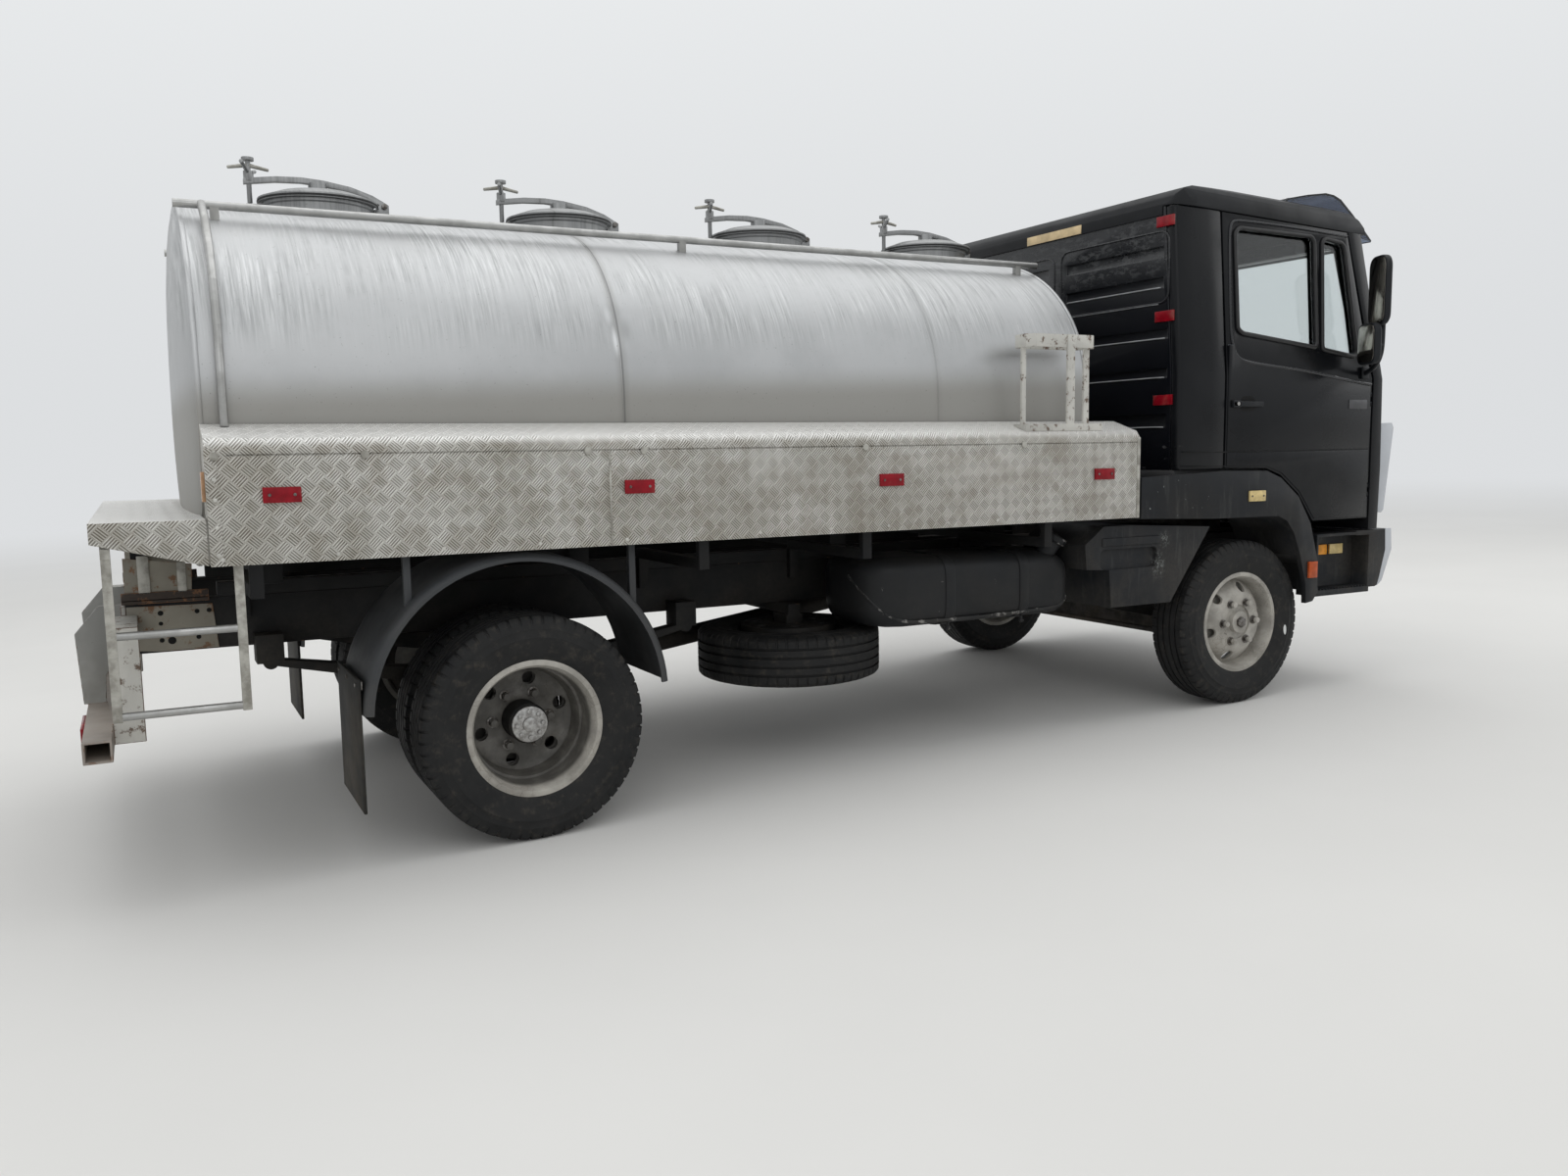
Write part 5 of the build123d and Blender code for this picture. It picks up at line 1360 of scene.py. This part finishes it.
class TANKER_OT_underframe(bpy.types.Operator):
    """Frame, axles, springs, engine, exhaust and tanks under the deck"""
    bl_idname = "tanker.underframe"
    bl_label = "Underframe"

    def execute(self, context):
        dress_nodes([
            ("frame_rails", "rails_frame", 3, "underframe", "frame_black"),
            ("crossmembers", "members", 3, "underframe", "frame_black"),
            ("engine_gearbox", "engine", 12, "cast_iron", "cast_metal"),
            ("drive_shaft", "shaft", 1, "underframe", "frame_black"),
            ("silencer", "exhaust", 3, "cast_iron", "cast_metal"),
            ("air_tanks", "air_reservoirs", 6, "underframe", "frame_black"),
            ("rear_axle", "axle_rear", 6, "cast_iron", "cast_metal"),
            ("leaf_springs", "springs", 2, "underframe", "frame_black"),
            ("front_axle", "axle_front", 6, "cast_iron", "cast_metal"),
            ("knuckle_left", "left_knuckle", 3, "cast_iron", "cast_metal", "knuckle_left"),
            ("knuckle_right", "right_knuckle", 3, "cast_iron", "cast_metal", "knuckle_right"),
            ("tie_rod", "track_rod", 2, "cast_iron", "cast_metal", "tie_rod"),
            ("tank_cradle", "cradle", 3, "underframe", "frame_black"),
        ])
        inner, outer, top = -520, -984, 889
        # place along the truck, inner and outer side, lowest and highest point
        stations = [(1406, -660, -790, 690, 830), (1412, -622, -842, 664, 852),
                    (1426, -585, -884, 640, 868), (1450, -552, -920, 618, 879),
                    (1486, -532, -951, 602, 886), (1534, -522, -973, 594, top),
                    (1600, inner, outer, 591, top), (2350, inner, outer, 591, 881),
                    (2396, -521, -980, 595, 868), (2430, -530, -966, 610, 850),
                    (2448, -545, -945, 632, 826), (2455, -565, -918, 660, 796)]
        parts = [lofted([fuel_ring(*station) for station in stations])]
        straps = (1795, 2185)
        for x in straps:
            high = top - (x - 1540) * 0.0099
            steps = ((-25, -2), (-25, 3), (-21, 4.8), (21, 4.8), (25, 3), (25, -2))
            parts += [lofted([fuel_ring(x + dx, inner, outer, 591 - up, high + up, up) for dx, up in steps]),
                      bar((x, -962, 606), (x, -962, 574), 6, 10, 1),
                      bar((x, -962, 588), (x, -962, 578), 12, 6, 1)]
        parts += [bar((2340, -900, 840), (2385, -935, 925), 43, 32, 2),
                  bar((2383, -933, 921), (2396, -944, 946), 55, 40, 6)]
        parts += [block(x - 25, x + 25, -540, -430, 690, 840, 4) for x in straps]
        tank = settle(joined(parts), "fuel_tank_body", "tank_black", smooth=50)
        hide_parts("fuel_tank")
        flange = [(1409, -800, 812), (1424, -868, 760), (1452, -918, 704), (1500, -948, 656),
                  (1568, -966, 628), (1640, -972, 620), (1900, -972, 618), (2118, -972, 620),
                  (2361, -972, 628), (2420, -964, 646), (2450, -938, 668)]
        settle(tube(flange, 8), "fuel_tank_flange", "flange_edge", smooth=60)
        return {"FINISHED"}


def tyre_pitch(sizes):
    """One pitch of the tyre about the Y axis: walls, shoulder slots and tread grooves."""
    tread, depth = 394.6, sizes.tread_depth / MM
    outer = [(-82, 228.3), (-86, 237), (-92, 246), (-98.5, 262), (-99.3, 266), (-105, 284), (-110, 303),
             (-111, 318), (-112, 321), (-110.4, 324), (-107.5, 345), (-108.2, 349), (-105.5, 353),
             (-102, 371), (-95, 386), (-86, 393)]
    rows = list(outer)
    for y0, y1 in ((-59, -50), (-24, -15), (15, 24), (50, 59)):
        rows += [(y0 - 0.6, tread), (y0, tread - depth), (y1, tread - depth), (y1 + 0.6, tread)]
    rows += [(-y, r) for y, r in reversed(outer)] + [outer[0]]
    pitch = 360 / sizes.tread_pitches
    columns = [0.0, 0.05, 0.20, 0.25, 0.62, 1.0]
    pick()
    bpy.ops.mesh.primitive_grid_add(x_subdivisions=len(rows) - 1, y_subdivisions=len(columns) - 1, size=1)
    obj = bpy.context.object
    for vertex in obj.data.vertices:
        i = round((vertex.co.x + 0.5) * (len(rows) - 1))
        j = round((vertex.co.y + 0.5) * (len(columns) - 1))
        y, radius = rows[i]
        if j in (1, 2) and 62 < abs(y) < 104 and radius > 365:
            radius -= 6
        angle = math.radians(pitch * columns[j])
        vertex.co = Vector((radius * math.sin(angle), y, radius * math.cos(angle))) * MM
    edit_all(obj)
    turns = sizes.tread_pitches - 1
    bpy.ops.mesh.spin(steps=turns, angle=math.radians(pitch * turns), dupli=True, center=(0, 0, 0),
                      axis=(0, 1, 0))
    return outward(obj, 0.1)


class TANKER_OT_tyres(bpy.types.Operator):
    """Treaded tyres on the road wheels and the spare"""
    bl_idname = "tanker.tyres"
    bl_label = "Tyres"

    def execute(self, context):
        seed = tyre_pitch(context.scene.truck_sizes)
        tyres = []
        for side, hand in HANDS:
            tyres += [("tyre_front_" + hand, "front_tyre_" + hand, "front_wheel_" + hand,
                       [at(FRONT_HUB.x, side * FRONT_TYRE_Y, FRONT_HUB.z)]),
                      ("tyres_rear_" + hand, "rear_tyres_" + hand, "rear_wheels_" + hand,
                       [at(REAR_HUB.x, side * y, REAR_HUB.z) for y in (OUTER_TYRE_Y, INNER_TYRE_Y)])]
        laid = at(*SPARE_HUB) @ Matrix.Rotation(LEAN, 4, "Y") @ turn_by(90, "X")
        tyres.append(("tyre_spare", "spare_tyre", "chassis", [laid]))
        for piece, node, body, places in tyres:
            tyre = joined([twin(seed, place) for place in places])
            settle(tyre, piece, "tyre_rubber", body, LEVEL, 28)
            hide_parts(node)
        bpy.data.objects.remove(seed)
        return {"FINISHED"}


def round_places(count, radius, hub, offset, turn=0.0):
    """Places on a circle about the Y axis through the hub."""
    angles = [math.radians(turn + 360 * i / count) for i in range(count)]
    return [at(hub.x + radius * math.cos(a), offset, hub.z + radius * math.sin(a)) for a in angles]


def hub_bar(hub, side, y0, y1, radius, sides, soft):
    """Bar about a wheel's axis, or about the Y axis where no hub is given."""
    x, z = (hub.x, hub.z) if hub else (0, 0)
    return bar((x, side * y0, z), (x, side * y1, z), radius, sides, soft)


class TANKER_OT_rims(bpy.types.Operator):
    """Rims with nuts and hub caps"""
    bl_idname = "tanker.rims"
    bl_label = "Rims and hubs"

    def execute(self, context):
        # radius, and distance from the centre plane
        drum = [(69, 842), (71, 846), (71, 938), (66, 944), (60, 944)]
        # a dark ring behind the rear rims, put where there is only shade seen through the holes of the rims
        shade_ring = [(164, 646), (203, 646), (203, 652), (164, 652)]
        for side, hand in HANDS:
            fore, aft = "front_wheel_" + hand, "rear_wheels_" + hand
            dress_nodes([("front_rim_" + hand, "rim_front_" + hand, 2.2, "wheel_paint", "wheel_grey", fore),
                         ("rear_rims_" + hand, "rims_rear_" + hand, 2.2,
                          "rear_wheel_paint", "wheel_grey", aft)])
            turn = 30 if side > 0 else 0
            nuts = []
            for hub, out in ((FRONT_HUB, FRONT_NUT_Y), (REAR_HUB, REAR_NUT_Y)):
                # washer, nut and the end of the stud
                nut = joined([hub_bar(None, side, 0, 4, 21, 20, 1), hub_bar(None, side, 3, 18, 16, 6, 2),
                              hub_bar(None, side, 16, 26, 8.5, 12, 1.5)])
                nuts.append(scattered(nut, round_places(6, NUT_CIRCLE, hub, side * out, turn)))
            cap = joined([nuts[0], hub_bar(FRONT_HUB, side, 1018, 1034, 27, 6, 3)])
            settle(cap, "front_nuts_" + hand, "bolt_steel", fore, LEVEL)
            settle(nuts[1], "rear_nuts_" + hand, "bolt_steel", aft, LEVEL)
            rings = [turned([(radius, side * y) for radius, y in rows], (REAR_HUB.x, 0, REAR_HUB.z), "y", 48)
                     for rows in (drum, shade_ring)]
            settle(joined(rings), "hub_drum_" + hand, "underframe", aft, LEVEL)
            studs = scattered(hub_bar(None, side, 0, 9, 9, 6, 1.5), round_places(8, 47, REAR_HUB, side * 956))
            flange = joined([hub_bar(REAR_HUB, side, 944, 957, 64, 40, 2),
                             hub_bar(REAR_HUB, side, 956, 964, 26, 32, 3),
                             studs])
            settle(flange, "hub_flange_" + hand, "hub_alloy", aft, LEVEL)
        dress_nodes([("spare_rim", "rim_spare", 2.2, "underframe", "frame_black")])
        return {"FINISHED"}


class TANKER_OT_lamps(bpy.types.Operator):
    """Reflectors and lamps with their screws"""
    bl_idname = "tanker.lamps"
    bl_label = "Reflectors and lamps"

    def execute(self, context):
        chips = dressed("reflectors", 1.5)
        settle(chips, "red_reflectors", ["red_lens", "faded_lens"], "chassis", LEVEL)
        by_face(chips, lambda spot, face: spot.x < -980)
        lamps = dressed("lamps", 2)
        lenses = ["amber_lens", "pale_lens", "orange_lens", "clear_lens", "red_lens"]
        settle(lamps, "marker_lamps", lenses, "chassis", LEVEL)
        # lowest x of each lamp along the truck and its lens
        order = [(4300, 3), (4150, 1), (4000, 0), (3800, 2), (3000, 1), (-2000, 4)]
        by_face(lamps, lambda spot, face: next(number for start, number in order if spot.x > start))
        screws = []
        for x, y, z, half in ((-777, -1107, 1222, 36), (381, -1107, 1215, 36), (1428, -1107, 1212, 36),
                              (2523, -1107, 1210, 36), (3482, -1100, 1085, 38)):
            screws += [at(x - half, y, z), at(x + half, y, z)]
        settle(both_sides(scattered(rivet_seed(5), screws)), "lens_screws", "bolt_steel")
        return {"FINISHED"}


# The photograph's view in the chassis frame
EYE = (-1169.5, -5054.3, 1334.0)
TURN, TILT, ROLL = math.radians(28.142), math.radians(6.530), math.radians(-0.8824)
FOCAL, SENSOR = 27.688, 36


def photo_view():
    ahead = Vector((math.sin(TURN) * math.cos(TILT), math.cos(TURN) * math.cos(TILT), -math.sin(TILT)))
    flat = Vector((math.cos(TURN), -math.sin(TURN), 0))
    over = flat.cross(ahead)
    right = flat * math.cos(ROLL) + over * math.sin(ROLL)
    up = over * math.cos(ROLL) - flat * math.sin(ROLL)
    turn = Matrix((right, up, -ahead)).transposed().to_4x4()
    return CHASSIS @ at(*EYE) @ turn


class TANKER_OT_stage(bpy.types.Operator):
    """Floor, surrounding light, lamps and the camera"""
    bl_idname = "tanker.stage"
    bl_label = "Stage"

    def execute(self, context):
        studio = context.scene.truck_studio
        pick()
        bpy.ops.mesh.primitive_plane_add(size=160, location=(0, 0, 0))
        floor = context.object
        floor.name = "floor"
        r = started("floor")
        shade = r.mix(r.cloud(0.3, 0.7, 0.6, 4.0), opaque(studio.floor, 0.97), tuple(studio.floor))
        paved = r.node("BsdfPrincipled", {"Base Color": shade, "Roughness": 0.85, "Specular IOR Level": 0.1})
        # seen by the camera, the floor fades into the background between 7 and 24 metres
        away = r.between(r.length(r.place()), 7.0, 24.0)
        seen = r.times(away, r.node("LightPath").outputs["Is Camera Ray"])
        pale = r.node("Emission", {"Color": opaque((0.72, 0.735, 0.75)), "Strength": 1.0})
        blend = r.node("MixShader", {0: seen, 1: paved.outputs[0], 2: pale.outputs[0]})
        r.node("OutputMaterial", {"Surface": blend.outputs[0]})
        floor.data.materials.append(r.material)
        world = bpy.data.worlds.new("studio")
        context.scene.world = world
        world.use_nodes = True
        world.node_tree.nodes.clear()
        w = Recipe(world.node_tree)
        height = w.split(w.node("TexCoord").outputs["Generated"])["Z"]
        sky = w.mix(w.between(height, 0.0, 0.6), (0.80, 0.817, 0.833), (0.97, 0.99, 1.0))
        rays = w.node("LightPath").outputs
        seen = w.most(rays["Is Camera Ray"], rays["Is Transmission Ray"])
        strength = w.plus(w.times(seen, 0.9 - studio.sky), studio.sky)
        light = w.node("Background", {"Color": sky, "Strength": strength})
        w.node("OutputWorld", {"Surface": light.outputs[0]})
        # place, where it points, width, height, share of the key light
        lamps = [((0.3, 1.0, 8.5), (0.3, 0.0, 1.0), 13.0, 10.0, 1.0),
                 ((-3.0, -9.0, 6.5), (0.3, 0, 1.2), 8.0, 4.0, 0.26),
                 ((9.0, -2.5, 4.5), (1.5, 0, 1.3), 5.0, 4.0, 0.16)]
        for number, (place, target, wide, tall, share) in enumerate(lamps):
            bpy.ops.object.light_add(type="AREA", location=place)
            lamp = context.object
            lamp.name = "softbox_%d" % number
            lamp.data.shape, lamp.data.size, lamp.data.size_y = "RECTANGLE", wide, tall
            lamp.data.energy = studio.key * share
            lamp.rotation_euler = (Vector(target) - Vector(place)).to_track_quat("-Z", "Y").to_euler()
        bpy.ops.object.camera_add()
        camera = context.object
        camera.name = "photo_camera"
        camera.data.lens, camera.data.sensor_width, camera.data.clip_end = FOCAL, SENSOR, 300
        camera.matrix_world = photo_view()
        context.scene.camera = camera
        context.scene.view_settings.view_transform = "Standard"
        return {"FINISHED"}


class TANKER_PT_panel(bpy.types.Panel):
    """Steps that dress the truck, in order"""
    bl_idname = "TANKER_PT_panel"
    bl_label = "Tanker truck"
    bl_space_type = "VIEW_3D"
    bl_region_type = "UI"
    bl_category = "Tanker"

    def draw(self, context):
        for step in STEPS:
            self.layout.operator(step.bl_idname)
        for group in (context.scene.truck_sizes, context.scene.truck_colours, context.scene.truck_studio):
            for key in group.bl_rna.properties.keys():
                if key not in ("rna_type", "name"):
                    self.layout.prop(group, key)


STEPS = [TANKER_OT_finishes, TANKER_OT_stage, TANKER_OT_cab_shell, TANKER_OT_doors, TANKER_OT_glass,
         TANKER_OT_mirrors, TANKER_OT_interior, TANKER_OT_front, TANKER_OT_wings, TANKER_OT_tank,
         TANKER_OT_lids, TANKER_OT_lockers, TANKER_OT_steps, TANKER_OT_rail_ends, TANKER_OT_underframe,
         TANKER_OT_tyres, TANKER_OT_rims, TANKER_OT_lamps]
GROUPS = {"truck_sizes": TruckSizes, "truck_colours": TruckColours, "truck_studio": StudioSettings}


def register():
    for kind in list(GROUPS.values()) + STEPS + [TANKER_PT_panel]:
        bpy.utils.register_class(kind)
    for name, kind in GROUPS.items():
        setattr(bpy.types.Scene, name, PointerProperty(type=kind))


def unregister():
    for name in GROUPS:
        delattr(bpy.types.Scene, name)
    for kind in reversed(list(GROUPS.values()) + STEPS + [TANKER_PT_panel]):
        bpy.utils.unregister_class(kind)


def main():
    register()
    for step in STEPS:
        family, action = step.bl_idname.split(".")
        getattr(getattr(bpy.ops, family), action)()
    pick()


if __name__ == "__main__":
    main()
